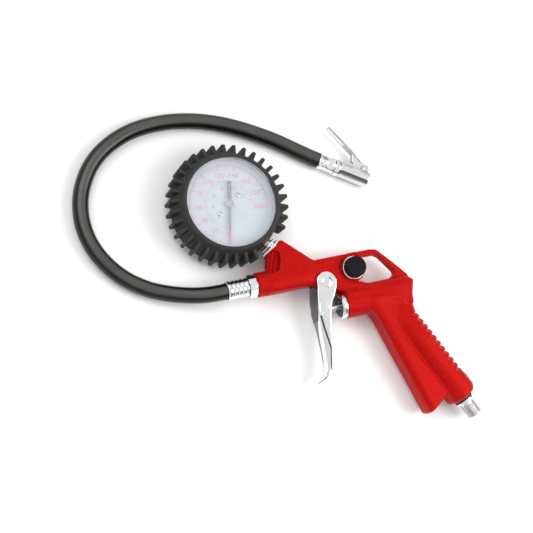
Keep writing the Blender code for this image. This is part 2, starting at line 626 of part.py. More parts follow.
def lug_outline():
    """The boot's tread: straight lugs on a round carcass, with none where the stem comes out."""
    pitch = 360.0 / LUG_PITCHES
    first = math.degrees(STEM_ANGLE) + pitch * (LUGS_LEFT_OUT + 1) / 2
    points = []
    for i in range(LUG_PITCHES - LUGS_LEFT_OUT):
        middle = first + i * pitch
        for radius, half in ((CARCASS_RADIUS, 2.3), (LUG_RADIUS, 1.7), (LUG_RADIUS, -1.7), (CARCASS_RADIUS, -2.3)):
            angle = math.radians(middle - half)
            points.append((radius * math.cos(angle), radius * math.sin(angle)))
    for i in range(1, 6):
        angle = math.radians(first - i * pitch * (LUGS_LEFT_OUT + 1) / 6)
        points.append((CARCASS_RADIUS * math.cos(angle), CARCASS_RADIUS * math.sin(angle)))
    points[-5:] = reversed(points[-5:])
    return points


def build_boot(rubber):
    carcass = [(34.0 * MM, -15.0 * MM), (43.5 * MM, -15.0 * MM), (CARCASS_RADIUS, -13.0 * MM),
               (CARCASS_RADIUS, 14.0 * MM), (43.6 * MM, 17.0 * MM), (41.0 * MM, 18.4 * MM),
               (38.2 * MM, 17.4 * MM), (38.2 * MM, 16.6 * MM), (40.4 * MM, 16.6 * MM),
               (40.4 * MM, -13.2 * MM), (34.0 * MM, -13.2 * MM)]
    boot = finished(turned(carcass, 48), "gauge_boot", at(GAUGE), rubber)
    tread = finished(prism(lug_outline(), -9.0 * MM, 10.5 * MM), "boot_tread", at(GAUGE), None)
    cut(tread, rod(43.0 * MM, -20.0 * MM, 20.0 * MM, 48), "inside", at(GAUGE))
    boolean(boot, tread, "UNION")
    cut(boot, rod(5.2 * MM, 30.0 * MM, 60.0 * MM, 20), "stem_hole", at(GAUGE) @ along(STEM_DIRECTION))


def build_case(steel, chrome, glass, white):
    case = [(0.0, -12.9 * MM), (CASE_RADIUS, -12.9 * MM), (CASE_RADIUS, 11.8 * MM), (38.8 * MM, 11.8 * MM),
            (38.8 * MM, -11.7 * MM), (0.0, -11.7 * MM)]
    shell = finished(turned(case, 40), "gauge_case", at(GAUGE), steel)
    cut(shell, rod(5.0 * MM, 30.0 * MM, 50.0 * MM, 20), "stem_hole", at(GAUGE) @ along(STEM_DIRECTION))
    bezel = [(38.6 * MM, 12.1 * MM), (CASE_RADIUS, 12.1 * MM), (CASE_RADIUS, 16.2 * MM), (38.4 * MM, 16.2 * MM),
             (38.4 * MM, 15.2 * MM), (38.6 * MM, 15.2 * MM)]
    finished(turned(bezel, 40), "gauge_bezel", at(GAUGE), chrome)
    lens = [(0.0, 12.6 * MM), (38.3 * MM, 12.6 * MM), (38.3 * MM, 14.8 * MM), (0.0, 14.8 * MM)]
    finished(turned(lens, 40), "gauge_lens", at(GAUGE), glass)
    dial = [(1.4 * MM, 6.4 * MM), (38.2 * MM, 6.4 * MM), (38.2 * MM, 7.2 * MM), (1.4 * MM, 7.2 * MM)]
    plate = finished(turned(dial, 40), "dial_plate", at(GAUGE), white)
    for label, sign in (("left", -1), ("right", 1)):
        spot = stem_axes() @ Matrix.Translation((0.0, sign * DIAL_SCREW_OFFSET, 0.0))
        cut(plate, rod(1.3 * MM, 5.0 * MM, 9.0 * MM, 12), f"{label}_screw_hole", spot)
        screw = [(0.0, 2.6 * MM), (0.95 * MM, 2.6 * MM), (0.95 * MM, 7.5 * MM), (2.0 * MM, 7.5 * MM),
                 (1.7 * MM, 8.4 * MM), (0.0, 8.4 * MM)]
        finished(turned(screw, 12), f"dial_screw_{label}", spot, chrome)


def stem_axes():
    """Gauge axes: +X runs out along the stem, +Z out of the dial."""
    return at(GAUGE) @ turn_z(STEM_ANGLE)


def build_socket(brass, chrome):
    line = at(GAUGE) @ along(STEM_DIRECTION)
    block = millimetres([(22.0, -7.5), (35.6, -7.5), (35.6, 7.5), (22.0, 7.5)])
    socket = finished(prism(block, -8.4 * MM, 3.0 * MM), "gauge_socket", stem_axes(), brass)
    join(socket, rod(4.6 * MM, 30.0 * MM, 62.0 * MM, 20), "neck", line)
    join(socket, hexagon(14.0 * MM, 46.0 * MM, 48.6 * MM), "hexagon", line)
    cut(socket, rod(1.3 * MM, 28.0 * MM, 64.0 * MM, 12), "way", line)
    nut = finished(hexagon(17.0 * MM, 48.9 * MM, 51.7 * MM), "stem_lock_nut", line, chrome)
    cut(nut, rod(4.9 * MM, 47.0 * MM, 54.0 * MM, 20), "thread", line)


def build_bourdon(bronze, brass):
    """The C-shaped pressure tube, open where it is brazed into the socket."""
    start, sweep = math.radians(14.0), math.radians(236.0)
    outer = [(25.8 * MM, -7.4 * MM), (28.2 * MM, -7.4 * MM), (28.8 * MM, -6.6 * MM), (28.8 * MM, 0.2 * MM),
             (28.2 * MM, 1.0 * MM), (25.8 * MM, 1.0 * MM), (25.2 * MM, 0.2 * MM), (25.2 * MM, -6.6 * MM)]
    inner = [(26.4 * MM, -6.4 * MM), (27.6 * MM, -6.4 * MM), (27.6 * MM, 0.0), (26.4 * MM, 0.0)]
    tube = finished(turned(outer, 20, start + math.radians(4.0), sweep), "bourdon_tube", stem_axes(), bronze)
    cut(tube, turned(inner, 20, start - math.radians(4.0), sweep), "bore", stem_axes())
    tip = [(24.8 * MM, -7.4 * MM), (29.2 * MM, -7.4 * MM), (29.2 * MM, 1.0 * MM), (24.8 * MM, 1.0 * MM)]
    tip_start = start + math.radians(4.0) + sweep + math.radians(0.8)
    finished(turned(tip, 3, tip_start, math.radians(7.0)), "bourdon_tip", stem_axes(), brass)


SECTOR_PIVOT = Vector((0.0, -SECTOR_ARM, 0.0))


def gear_tooth(pitch_radius, middle, half_share):
    """One straight-flanked tooth, as four points round a gear's centre."""
    root = pitch_radius - 1.05 * TOOTH_MODULE
    tip = pitch_radius + 0.75 * TOOTH_MODULE
    half = 0.25 * math.pi * TOOTH_MODULE * half_share
    points = []
    for radius, width in ((root, 1.45 * half), (tip, 0.5 * half), (tip, -0.5 * half), (root, -1.45 * half)):
        angle = middle - width / radius
        points.append((radius * math.cos(angle), radius * math.sin(angle)))
    return points


def pinion_outline():
    points = []
    for i in range(PINION_TEETH):
        middle = math.radians(-90.0) + math.tau * (i + 0.5) / PINION_TEETH
        points += gear_tooth(0.5 * TOOTH_MODULE * PINION_TEETH, middle, 0.8)
    return points


def sector_outline():
    """The toothed sector and its tail, round the sector's pivot; at rest its last teeth are in mesh."""
    pitch = math.tau / SECTOR_TEETH
    points = []
    for i in range(-2, 10):
        middle = math.radians(90.0) - i * pitch
        points = gear_tooth(0.5 * TOOTH_MODULE * SECTOR_TEETH, middle, 0.8) + points
    first, last = points[0], points[-1]
    hub = 2.4 * MM
    points += arc((0.0, 0.0), hub, 118.0, 165.0, 3)
    points += [(-8.6 * MM, 1.6 * MM), (-8.6 * MM, -1.6 * MM)]
    points += arc((0.0, 0.0), hub, 200.0, 372.0, 8)
    return points


def build_movement(brass, steel):
    plate = millimetres([(-13.0, -20.0), (13.0, -20.0), (21.6, -9.0), (21.6, 9.0), (16.0, 14.0),
                         (-13.0, 14.0)])
    for name, low, high in (("movement_back_plate", -8.4, -7.0), ("movement_front_plate", 3.4, 4.8)):
        sheet = finished(prism(plate, low * MM, high * MM), name, stem_axes(), brass)
        centre_hole = rod(0.9 * MM, (low - 1.0) * MM, (high + 1.0) * MM, 14)
        cut(sheet, centre_hole, "arbor_hole", stem_axes())
        pivot_hole = rod(0.9 * MM, (low - 1.0) * MM, (high + 1.0) * MM, 14)
        cut(sheet, pivot_hole, "sector_hole", stem_axes() @ Matrix.Translation(SECTOR_PIVOT))
        for sign in (-1, 1) if name == "movement_front_plate" else ():
            hole = rod(1.2 * MM, 2.0 * MM, 6.0 * MM, 12)
            place = stem_axes() @ Matrix.Translation((0.0, sign * DIAL_SCREW_OFFSET, 0.0))
            cut(sheet, hole, f"dial_hole_{sign}", place)
    for i, (x, y) in enumerate([(-10.5, -17.5), (-10.5, 6.0), (18.0, 6.5)]):
        post = stem_axes() @ Matrix.Translation(Vector((x, y, 0.0)) * MM)
        finished(rod(1.6 * MM, -6.7 * MM, 3.1 * MM, 12), f"movement_pillar_{i + 1}", post, brass)
    arbor = finished(rod(0.8 * MM, -8.2 * MM, 10.4 * MM, 14), "pointer_arbor", stem_axes(), steel)
    join(arbor, prism(pinion_outline(), -1.2 * MM, 1.2 * MM), "pinion", stem_axes())
    pivot = stem_axes() @ Matrix.Translation(SECTOR_PIVOT)
    sector = finished(prism(sector_outline(), -0.8 * MM, 0.8 * MM), "sector_gear", pivot, brass)
    cut(sector, rod(0.86 * MM, -3.0 * MM, 3.0 * MM, 14), "bore", pivot)
    finished(rod(0.8 * MM, -8.2 * MM, 4.6 * MM, 14), "sector_arbor", pivot, steel)


def build_link(steel):
    """The link from the sector's tail to the pressure tube's tip, over the sector's face."""
    tail = stem_axes() @ Matrix.Translation(SECTOR_PIVOT + Vector((-7.2 * MM, 0.0, 0.0)))
    bar = millimetres([(-1.3, 1.3), (-1.3, -9.2), (1.3, -9.2), (1.3, 1.3)])
    finished(prism(bar, 1.1 * MM, 1.9 * MM), "tip_link", tail, steel)


def hairspring_rings():
    """A flat spiral ribbon round the arbor, between the pinion and the back plate."""
    rings = []
    turns, steps = 2.5, 32
    for i in range(steps + 1):
        angle = math.tau * turns * i / steps
        radius = (1.6 + 1.3 * angle / math.tau) * MM
        direction = Vector((math.cos(angle), math.sin(angle), 0.0))
        ring = []
        for out, height in ((0.0, -4.4), (0.22, -4.4), (0.22, -3.4), (0.0, -3.4)):
            ring.append(direction * (radius + out * MM) + Vector((0.0, 0.0, height * MM)))
        rings.append(ring)
    return rings


def build_pointer(grey):
    """The needle stands at zero, straight down the dial as the gun is held."""
    zero = at(GAUGE) @ turn_z(STEM_ANGLE + math.radians(-48.0))
    needle = millimetres([(0.0, 1.1), (-4.0, 1.65), (-19.6, 1.65), (-19.6, -1.65), (-4.0, -1.65),
                          (0.0, -1.1), (32.6, -0.35), (33.2, 0.0), (32.6, 0.35)])
    pointer = finished(prism(needle, 9.0 * MM, 9.6 * MM), "gauge_pointer", zero, grey)
    join(pointer, rod(3.0 * MM, 8.8 * MM, 10.2 * MM, 20), "hub", zero)
    cut(pointer, rod(0.86 * MM, 8.0 * MM, 11.0 * MM, 14), "bore", zero)


def build_gauge(rubber, black_steel, chrome, glass, white, brass, bronze, steel, grey):
    build_boot(rubber)
    build_case(black_steel, chrome, glass, white)
    build_socket(brass, chrome)
    build_bourdon(bronze, brass)
    build_movement(brass, steel)
    build_link(steel)
    finished(skinned(hairspring_rings()), "hairspring", stem_axes(), bronze)
    build_pointer(grey)


def main():
    clear_scene()
    paint = material("red_paint", (0.62, 0.02, 0.02), 0.3)
    chrome = material("chrome_plate", (0.82, 0.83, 0.84), 0.12, 1.0)
    steel = material("spring_steel", (0.55, 0.55, 0.56), 0.3, 1.0)
    black_steel = material("black_steel", (0.05, 0.05, 0.055), 0.45, 0.6)
    brass = material("brass", (0.78, 0.6, 0.3), 0.3, 1.0)
    bronze = material("bronze", (0.66, 0.42, 0.24), 0.32, 1.0)
    rubber = material("boot_rubber", (0.045, 0.047, 0.047), 0.7)
    hose_rubber = material("hose_rubber", (0.035, 0.035, 0.035), 0.4)
    seal_rubber = material("seal_rubber", (0.03, 0.03, 0.03), 0.6)
    black = material("button_plastic", (0.015, 0.014, 0.018), 0.35)
    glass = material("lens", (0.9, 0.92, 0.95), 0.05)
    white = material("dial_face", (0.86, 0.88, 0.93), 0.5)
    grey = material("pointer_paint", (0.35, 0.35, 0.37), 0.45)
    build_body(paint)
    build_trigger(chrome, steel)
    build_trigger_valve(chrome, brass, seal_rubber, steel)
    build_bleed_valve(chrome, black, seal_rubber, steel)
    build_hose_end(chrome, brass)
    build_hose(hose_rubber)
    build_inlet(chrome, seal_rubber)
    build_chuck(chrome, brass, seal_rubber, steel)
    build_gauge(rubber, black_steel, chrome, glass, white, brass, bronze, steel, grey)


main()
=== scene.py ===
"""The looks of the tyre inflator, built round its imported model: a rounded red casting, chromed fittings, a
pressed trigger, a lugged rubber boot round a printed dial, and a rubber whip hose with its clip-on chuck.

Lengths are in millimetres in design axes, which start at the trigger's pivot on the gun's middle plane: +X to
the back of the grip, +Y to the gauge, +Z out of the dial. place() turns them into the frame's metres.
"""
import bmesh
import bpy
import json
import math
import numpy as np
from mathutils import Matrix, Vector


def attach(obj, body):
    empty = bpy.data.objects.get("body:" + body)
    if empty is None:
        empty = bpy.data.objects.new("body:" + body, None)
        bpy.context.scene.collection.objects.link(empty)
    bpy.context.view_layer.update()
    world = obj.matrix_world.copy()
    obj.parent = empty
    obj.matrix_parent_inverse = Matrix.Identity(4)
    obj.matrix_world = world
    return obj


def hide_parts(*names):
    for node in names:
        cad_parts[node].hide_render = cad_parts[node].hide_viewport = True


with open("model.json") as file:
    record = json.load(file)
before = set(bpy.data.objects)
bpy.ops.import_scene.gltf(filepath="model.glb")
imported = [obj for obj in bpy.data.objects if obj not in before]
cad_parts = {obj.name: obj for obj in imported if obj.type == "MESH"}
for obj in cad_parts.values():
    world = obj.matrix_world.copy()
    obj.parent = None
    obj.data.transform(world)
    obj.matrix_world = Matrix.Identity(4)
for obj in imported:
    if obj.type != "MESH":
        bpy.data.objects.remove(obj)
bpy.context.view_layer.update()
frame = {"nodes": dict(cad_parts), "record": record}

MM = 0.001
DATUM = Vector((2.4, 3.7, 15.0))  # the design's own start, in the frame

# Gun
BARREL_Y, BARREL_RADIUS, BARREL_FRONT_X = 10.3, 10.3, -58.0
HEAD_HALF, HOOK_HALF, TANG_HALF, SIDE_HALF, PALM_HALF = 9.0, 4.4, 9.6, 11.1, 15.0
CHAMBER_Y, CHAMBER_RADIUS, CHAMBER_FACE_X = -21.3, 11.4, 13.6
LOBE_END = Vector((99.0, -119.5, 0.0))
LOBE_ANGLE = math.radians(-64.8)
LOBE_BACK = 12.3
SERRATIONS, SERRATION_START, SERRATION_PITCH, SERRATION_DEPTH = 11, 18.0, 5.93, 1.5
BLEED = Vector((27.0, 7.2, 0.0))
# Gauge
GAUGE = Vector((-66.3, 80.1, 0.0))
STEM_ANGLE = math.radians(-55.0)
BOSS_FACE, BOSS_RADIUS, STEM_WALL = 52.1, 9.2, 6.7
# Hose and chuck
HOSE_RADIUS = 6.75
CHUCK_START = Vector((27.2, 107.8, -7.5))
CHUCK_ANGLE = math.radians(-31.5)
LEVER_PIN = (39.0, 7.4)  # along the chuck, and off its middle line

STEM_DIRECTION = Vector((math.cos(STEM_ANGLE), math.sin(STEM_ANGLE), 0.0))
LOBE_DIRECTION = Vector((math.cos(LOBE_ANGLE), math.sin(LOBE_ANGLE), 0.0))
X_AXIS, Z_AXIS, ORIGIN = (1.0, 0.0, 0.0), (0.0, 0.0, 1.0), (0.0, 0.0, 0.0)


# ---------------- places

def along(direction):
    """A turn that takes +Z to a direction."""
    return Vector(direction).to_track_quat("Z", "Y").to_matrix().to_4x4()


def turn_z(angle):
    return Matrix.Rotation(angle, 4, "Z")


def place(local=None):
    """The matrix that takes a piece's own millimetres to the frame's metres."""
    return Matrix.Scale(MM, 4) @ Matrix.Translation(DATUM) @ (local or Matrix.Identity(4))


def gauge_axes(angle=0.0):
    return Matrix.Translation(GAUGE) @ turn_z(angle)


def chuck_axes():
    """+X runs out of the chuck's mouth, +Y to its thumb lever."""
    return Matrix.Translation(CHUCK_START) @ turn_z(CHUCK_ANGLE)


# ---------------- camera and studio

# The camera stands 1 m from the tool, above it and a little to its front and grip side.
CAMERA_TURN = math.radians(12.6)
CAMERA_AIM = Vector((49.07, -13.75, 0.0))
CAMERA_SIDE = (-0.29, -0.205)
CAMERA_DISTANCE = 1000.0
CAMERA_LENS, CAMERA_SENSOR = 81.05, 36.0


def make_camera():
    up = math.sqrt(1.0 - CAMERA_SIDE[0] ** 2 - CAMERA_SIDE[1] ** 2)
    back = Vector((*CAMERA_SIDE, up))
    tilt = Vector((0.0, 0.0, 1.0)).rotation_difference(back).to_matrix().to_4x4()
    turn = turn_z(-CAMERA_TURN)
    spot = DATUM + turn @ (back * CAMERA_DISTANCE - CAMERA_AIM)
    data = bpy.data.cameras.new("camera")
    data.sensor_width = CAMERA_SENSOR
    data.lens = CAMERA_LENS
    camera = bpy.data.objects.new("camera", data)
    bpy.context.scene.collection.objects.link(camera)
    camera.matrix_world = Matrix.Translation(spot * MM) @ turn @ tilt
    bpy.context.scene.camera = camera


make_camera()


# ---------------- materials

class Finish:
    """A material with its Principled shader, and short ways to add nodes to it."""

    def __init__(self, name, colour, roughness, metallic=0.0):
        self.material = bpy.data.materials.new(name)
        self.material.use_nodes = True
        self.tree = self.material.node_tree
        self.shader = self.tree.nodes["Principled BSDF"]
        self.set("Base Color", (*colour, 1.0))
        self.set("Roughness", roughness)
        self.set("Metallic", metallic)

    def set(self, socket, value):
        self.shader.inputs[socket].default_value = value

    def node(self, kind, **settings):
        made = self.tree.nodes.new(kind)
        for key, value in settings.items():
            setattr(made, key, value)
        return made

    def link(self, source, target):
        self.tree.links.new(source, target)

    def object_space(self):
        """The frame's own coordinates, so that patterns keep their place and size in metres."""
        return self.node("ShaderNodeTexCoord").outputs["Object"]

    def noise(self, scale, detail=4.0, roughness=0.55):
        made = self.node("ShaderNodeTexNoise")
        for key, value in (("Scale", scale), ("Detail", detail), ("Roughness", roughness)):
            made.inputs[key].default_value = value
        self.link(self.object_space(), made.inputs["Vector"])
        return made.outputs["Fac"]

    def flakes(self, scale):
        """A random colour in each small cell."""
        made = self.node("ShaderNodeTexVoronoi")
        made.inputs["Scale"].default_value = scale
        self.link(self.object_space(), made.inputs["Vector"])
        return made.outputs["Color"]

    def ramp(self, source, stops):
        """A colour ramp over (position, colour or grey) stops."""
        made = self.node("ShaderNodeValToRGB")
        ramp = made.color_ramp
        while len(ramp.elements) < len(stops):
            ramp.elements.new(0.5)
        for element, (position, colour) in zip(ramp.elements, stops):
            element.position = position
            grey = not isinstance(colour, tuple)
            element.color = (colour, colour, colour, 1.0) if grey else (*colour, 1.0)
        self.link(source, made.inputs["Fac"])
        return made.outputs["Color"]

    def put(self, value, socket):
        """A number, a colour or another node's output, put into a socket."""
        if isinstance(value, (int, float)):
            socket.default_value = value
        elif isinstance(value, tuple):
            socket.default_value = (*value, 1.0)
        else:
            self.link(value, socket)

    def maths(self, operation, first, second=0.0):
        made = self.node("ShaderNodeMath", operation=operation)
        self.put(first, made.inputs[0])
        self.put(second, made.inputs[1])
        return made.outputs["Value"]

    def mix(self, share, first, second):
        """Two colours mixed by a share."""
        made = self.node("ShaderNodeMix", data_type="RGBA")
        for key, value in ((0, share), (6, first), (7, second)):  # its factor and its two colours
            self.put(value, made.inputs[key])
        return made.outputs[2]

    def bump(self, height, distance, strength=1.0, after=None):
        made = self.node("ShaderNodeBump")
        made.inputs["Distance"].default_value = distance
        made.inputs["Strength"].default_value = strength
        self.link(height, made.inputs["Height"])
        if after:
            self.link(after, made.inputs["Normal"])
        return made.outputs["Normal"]

    def facing(self, direction):
        """How squarely the surface faces a direction."""
        made = self.node("ShaderNodeVectorMath", operation="DOT_PRODUCT")
        self.link(self.node("ShaderNodeTexCoord").outputs["Normal"], made.inputs[0])
        made.inputs[1].default_value = direction
        return made.outputs["Value"]

    def position(self):
        made = self.node("ShaderNodeSeparateXYZ")
        self.link(self.object_space(), made.inputs[0])
        return made.outputs

    def drive(self, socket, source):
        self.link(source, self.shader.inputs[socket])


def body_paint():
    """Red enamel with a fine sparkle, over the soft unevenness of a casting."""
    made = Finish("red_enamel", (0.5, 0.008, 0.008), 0.34)
    flake = made.flakes(2600.0)
    patches = made.noise(60.0)
    sparkle = made.maths("MULTIPLY", made.maths("GREATER_THAN", flake, 0.8), 0.5)
    base = made.mix(patches, (0.38, 0.0045, 0.0045), (0.46, 0.007, 0.006))
    made.drive("Base Color", made.mix(sparkle, base, (0.6, 0.03, 0.025)))
    made.drive("Roughness", made.ramp(patches, [(0.3, 0.34), (0.7, 0.46)]))
    made.set("Metallic", 0.12)
    made.set("Specular IOR Level", 0.2)
    made.set("Specular Tint", (0.9, 0.12, 0.1, 1.0))
    casting = made.bump(made.noise(420.0, 3.0), 0.00003, 0.5)
    made.drive("Normal", made.bump(made.noise(90.0, 2.0), 0.00012, 0.35, casting))
    return made.material


def chrome_plate(name="chrome", dark_reflection_low=None, painted_shade_mask=None):
    """Bright chrome with faint polishing unevenness, and a painted dark reflection on the faces that look to
    the hose.
    """
    made = Finish(name, (0.80, 0.81, 0.82), 0.1, 1.0)
    smears = made.noise(160.0, 5.0)
    made.drive("Roughness", made.ramp(smears, [(0.35, 0.06), (0.75, 0.19)]))
    bright = made.ramp(made.noise(45.0), [(0.3, (0.86, 0.87, 0.89)), (0.7, (0.96, 0.96, 0.96))])
    toward_hose = made.facing((-1.0, 0.0, 0.0))
    # Painted dark reflection: chrome faces that look to the hose are darkened in their colour.
    painted_dark_reflection = made.ramp(toward_hose, [(0.93, 0.0), (0.97, 1.0)])
    if dark_reflection_low is not None:
        painted_dark_reflection = made.maths("MULTIPLY", painted_dark_reflection, made.maths("GREATER_THAN", made.position()["Y"], dark_reflection_low))
        painted_dark_reflection = made.maths("MAXIMUM", painted_dark_reflection, made.ramp(toward_hose, [(0.988, 0.0), (0.996, 0.8)]))
    if painted_shade_mask:
        painted_dark_reflection = made.maths("MAXIMUM", painted_dark_reflection, painted_shade_mask(made))
    # The painted dark reflection and any painted shade are mixed in as a dark grey.
    made.drive("Base Color", made.mix(painted_dark_reflection, bright, (0.09, 0.095, 0.10)))
    made.drive("Normal", made.bump(made.noise(110.0, 3.0), 0.00005, 0.4))
    return made.material


def trigger_painted_crease_shadow(made):
    """Painted shadow lines: one between the trigger's round front and its flat side, and a painted shaded
    stripe along its back edge.
    """
    spot = made.position()
    above = made.maths("GREATER_THAN", spot["Z"], DATUM.z * MM)
    lines = 0.0
    for low, high, at_low, at_high, half_width in PAINTED_CREASE_SHADOWS:
        slant = made.node("ShaderNodeMapRange")
        for key, value in zip(("From Min", "From Max", "To Min", "To Max"), (low, high, at_low, at_high)):
            slant.inputs[key].default_value = value
        made.link(spot["Y"], slant.inputs["Value"])
        off = made.maths("ABSOLUTE", made.maths("SUBTRACT", spot["X"], slant.outputs["Result"]))
        near = made.maths("LESS_THAN", off, half_width)
        between = made.maths("MULTIPLY", made.maths("LESS_THAN", spot["Y"], high),
                             made.maths("GREATER_THAN", spot["Y"], low))
        lines = made.maths("MAXIMUM", made.maths("MULTIPLY", near, between), lines)
    return made.maths("MULTIPLY", lines, above)


def chuck_painted_shadow(made):
    """A painted shadow streak along the chuck, below its cheeks."""
    below = made.facing(tuple(turn_z(CHUCK_ANGLE) @ Vector((0.0, -1.0, 0.0))))
    return made.ramp(below, [(0.28, 0.0), (0.36, 1.0), (0.62, 0.9), (0.78, 0.2)])


def drawn_steel():
    made = Finish("drawn_steel", (0.52, 0.52, 0.53), 0.3, 1.0)
    made.drive("Roughness", made.ramp(made.noise(300.0), [(0.3, 0.22), (0.7, 0.42)]))
    made.drive("Base Color", made.ramp(made.noise(70.0), [(0.3, 0.45), (0.7, 0.6)]))
    return made.material


def turned_metal(name, low, high):
    """Brass or bronze, slightly tarnished."""
    made = Finish(name, high, 0.28, 1.0)
    tarnish = made.noise(120.0, 6.0)
    made.drive("Base Color", made.ramp(tarnish, [(0.32, low), (0.62, high)]))
    made.drive("Roughness", made.ramp(tarnish, [(0.3, 0.42), (0.7, 0.22)]))
    return made.material


def moulded_rubber(name, low, high, roughness, grain, depth=0.00008, gloss=0.4, spread=(0.1, 0.1), overlay_painted_light=None):
    """Rubber with a fine moulded grain and a mottled bloom, which spreads its roughness down and up."""
    made = Finish(name, high, roughness)
    bloom = made.noise(55.0, 6.0, 0.65)
    base = made.ramp(bloom, [(0.3, low), (0.7, high)])
    # Where given, the overlay paints a highlight over the rubber's colour.
    made.drive("Base Color", overlay_painted_light(made, base) if overlay_painted_light else base)
    made.drive("Roughness", made.ramp(bloom, [(0.3, roughness - spread[0]), (0.7, roughness + spread[1])]))
    made.drive("Normal", made.bump(made.noise(grain, 3.0), depth, 0.6))
    made.set("Specular IOR Level", gloss)
    return made.material


def hose_painted_highlight(made, rubber):
    """A painted highlight band along the hose's top, and a thin painted highlight low on each flank."""
    highlight_bands = made.ramp(made.facing(Z_AXIS),
                      [(0.28, 0.0), (0.40, 0.35), (0.50, 0.0), (0.82, 0.0), (0.92, 0.85), (0.99, 1.0)])
    share = made.maths("MULTIPLY", highlight_bands, made.ramp(made.noise(24.0), [(0.3, 0.7), (0.7, 1.0)]))
    return made.mix(share, rubber, (0.075, 0.077, 0.069))


def black_enamel():
    made = Finish("black_enamel", (0.03, 0.03, 0.032), 0.4)
    made.drive("Roughness", made.ramp(made.noise(200.0), [(0.3, 0.32), (0.7, 0.5)]))
    return made.material


RED = body_paint()
# The painted shadow lines on the trigger, in the frame's metres: each line's lower and upper end in Y, its X
# at each, and half its width.
PAINTED_CREASE_SHADOWS = [(-0.0521, -0.0228, -0.0077, -0.0099, 0.0006), (-0.0688, -0.0500, -0.0112, -0.0072, 0.0010)]
CHROME = chrome_plate()
# The trigger's chrome, with painted shadow lines along its crease and back edge.
TRIGGER_CHROME = chrome_plate("chrome_trigger", -0.0265, trigger_painted_crease_shadow)
# The chuck's chrome, with a painted shadow streak below its cheeks.
CHUCK_CHROME = chrome_plate("chrome_chuck", None, chuck_painted_shadow)
STEEL = drawn_steel()
BRASS = turned_metal("brass_turned", (0.55, 0.38, 0.16), (0.78, 0.6, 0.3))
BRONZE = turned_metal("bronze_drawn", (0.42, 0.24, 0.12), (0.66, 0.42, 0.24))
BOOT_RUBBER = moulded_rubber("boot_rubber_skin", (0.010, 0.011, 0.010), (0.028, 0.030, 0.027), 0.6, 900.0)
# The hose's rubber, with painted highlight bands along its top and flanks.
HOSE_RUBBER = moulded_rubber("hose_rubber_skin", (0.003, 0.003, 0.003), (0.007, 0.007, 0.006), 0.24, 1500.0,
                             0.00002, 0.32, (0.08, 0.1), hose_painted_highlight)
SEAL_RUBBER = moulded_rubber("seal_rubber_skin", (0.015, 0.015, 0.015), (0.03, 0.03, 0.03), 0.55, 1200.0)
BLACK_PLASTIC = moulded_rubber("black_cap", (0.003, 0.003, 0.004), (0.007, 0.006, 0.009), 0.5, 1800.0,
                               0.00008, 0.12)
BLACK_STEEL = black_enamel()


# ---------------- making pieces

def show(name, mesh_or_curve, local=None):
    """An object in the scene, from data in the piece's own millimetres."""
    thing = bpy.data.objects.new(name, mesh_or_curve)
    bpy.context.scene.collection.objects.link(thing)
    thing.matrix_world = place(local)
    return thing


def settle(thing, body, finish, slot, *nodes):
    """Bakes the place into the mesh, then sets what a finished piece rides on, stands for and is made of."""
    if thing.type == "MESH":
        thing.data.transform(thing.matrix_world)
        thing.matrix_world = Matrix.Identity(4)
    thing.data.materials.clear()
    thing.data.materials.append(finish)
    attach(thing, body)
    if nodes:
        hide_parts(*nodes)
    return thing


def mesh_of(name, points, faces, sharp=None):
    mesh = bpy.data.meshes.new(name)
    mesh.from_pydata([tuple(p) for p in points], [], [tuple(f) for f in faces])
    mesh.validate()
    mesh.shade_smooth()
    if sharp:
        mesh.set_sharp_from_angle(angle=math.radians(sharp))
    return mesh


# ---------------- solids from distance fields

def polygon_distance(x, y, outline):
    """The signed distance in the plane to a closed outline, negative inside."""
    best = np.full(x.shape, 1e9, np.float32)
    inside = np.zeros(x.shape, bool)
    for (ax, ay), (bx, by) in zip(outline, outline[1:] + outline[:1]):
        ex, ey = bx - ax, by - ay
        share = np.clip(((x - ax) * ex + (y - ay) * ey) / (ex * ex + ey * ey), 0.0, 1.0)
        best = np.minimum(best, (x - ax - ex * share) ** 2 + (y - ay - ey * share) ** 2)
        if ay != by:
            crosses = (ay > y) != (by > y)
            inside ^= crosses & (x < ex * (y - ay) / ey + ax)
    return np.where(inside, -1.0, 1.0) * np.sqrt(best)


def corner(first, second, radius):
    """Where two fields both hold, with the edge between them rounded."""
    a, b = first + radius, second + radius
    return np.minimum(np.maximum(a, b), 0.0) + np.hypot(np.maximum(a, 0.0), np.maximum(b, 0.0)) - radius


def blend(first, second, width):
    """Two fields joined, with a fillet of about that width."""
    share = np.clip(0.5 + 0.5 * (second - first) / width, 0.0, 1.0)
    return second * (1.0 - share) + first * share - width * share * (1.0 - share)


def carve(first, second, width):
    """The first field less the second, with the edge eased."""
    return -blend(-first, second, width)


def slab(flat, z, half, radius):
    return corner(flat, np.abs(z) - half, radius)


def bevelled_slab(flat, z, half, width, drop, radius):
    """A slab with a flat bevel of that width and drop round its face."""
    slope = math.hypot(width, drop)
    bevel = (flat * drop + (np.abs(z) - half + drop) * width) / slope
    return -blend(-slab(flat, z, half, radius), -bevel, 0.7)


def cylinder(p, start, direction, radius, low, high, edge):
    """A round bar along a direction, from low to high past its start."""
    d = np.array(direction)
    rel = [p[i] - start[i] for i in range(3)]
    t = rel[0] * d[0] + rel[1] * d[1] + rel[2] * d[2]
    off = np.sqrt(np.maximum(rel[0] ** 2 + rel[1] ** 2 + rel[2] ** 2 - t * t, 0.0))
    return corner(off - radius, np.maximum(low - t, t - high), edge)


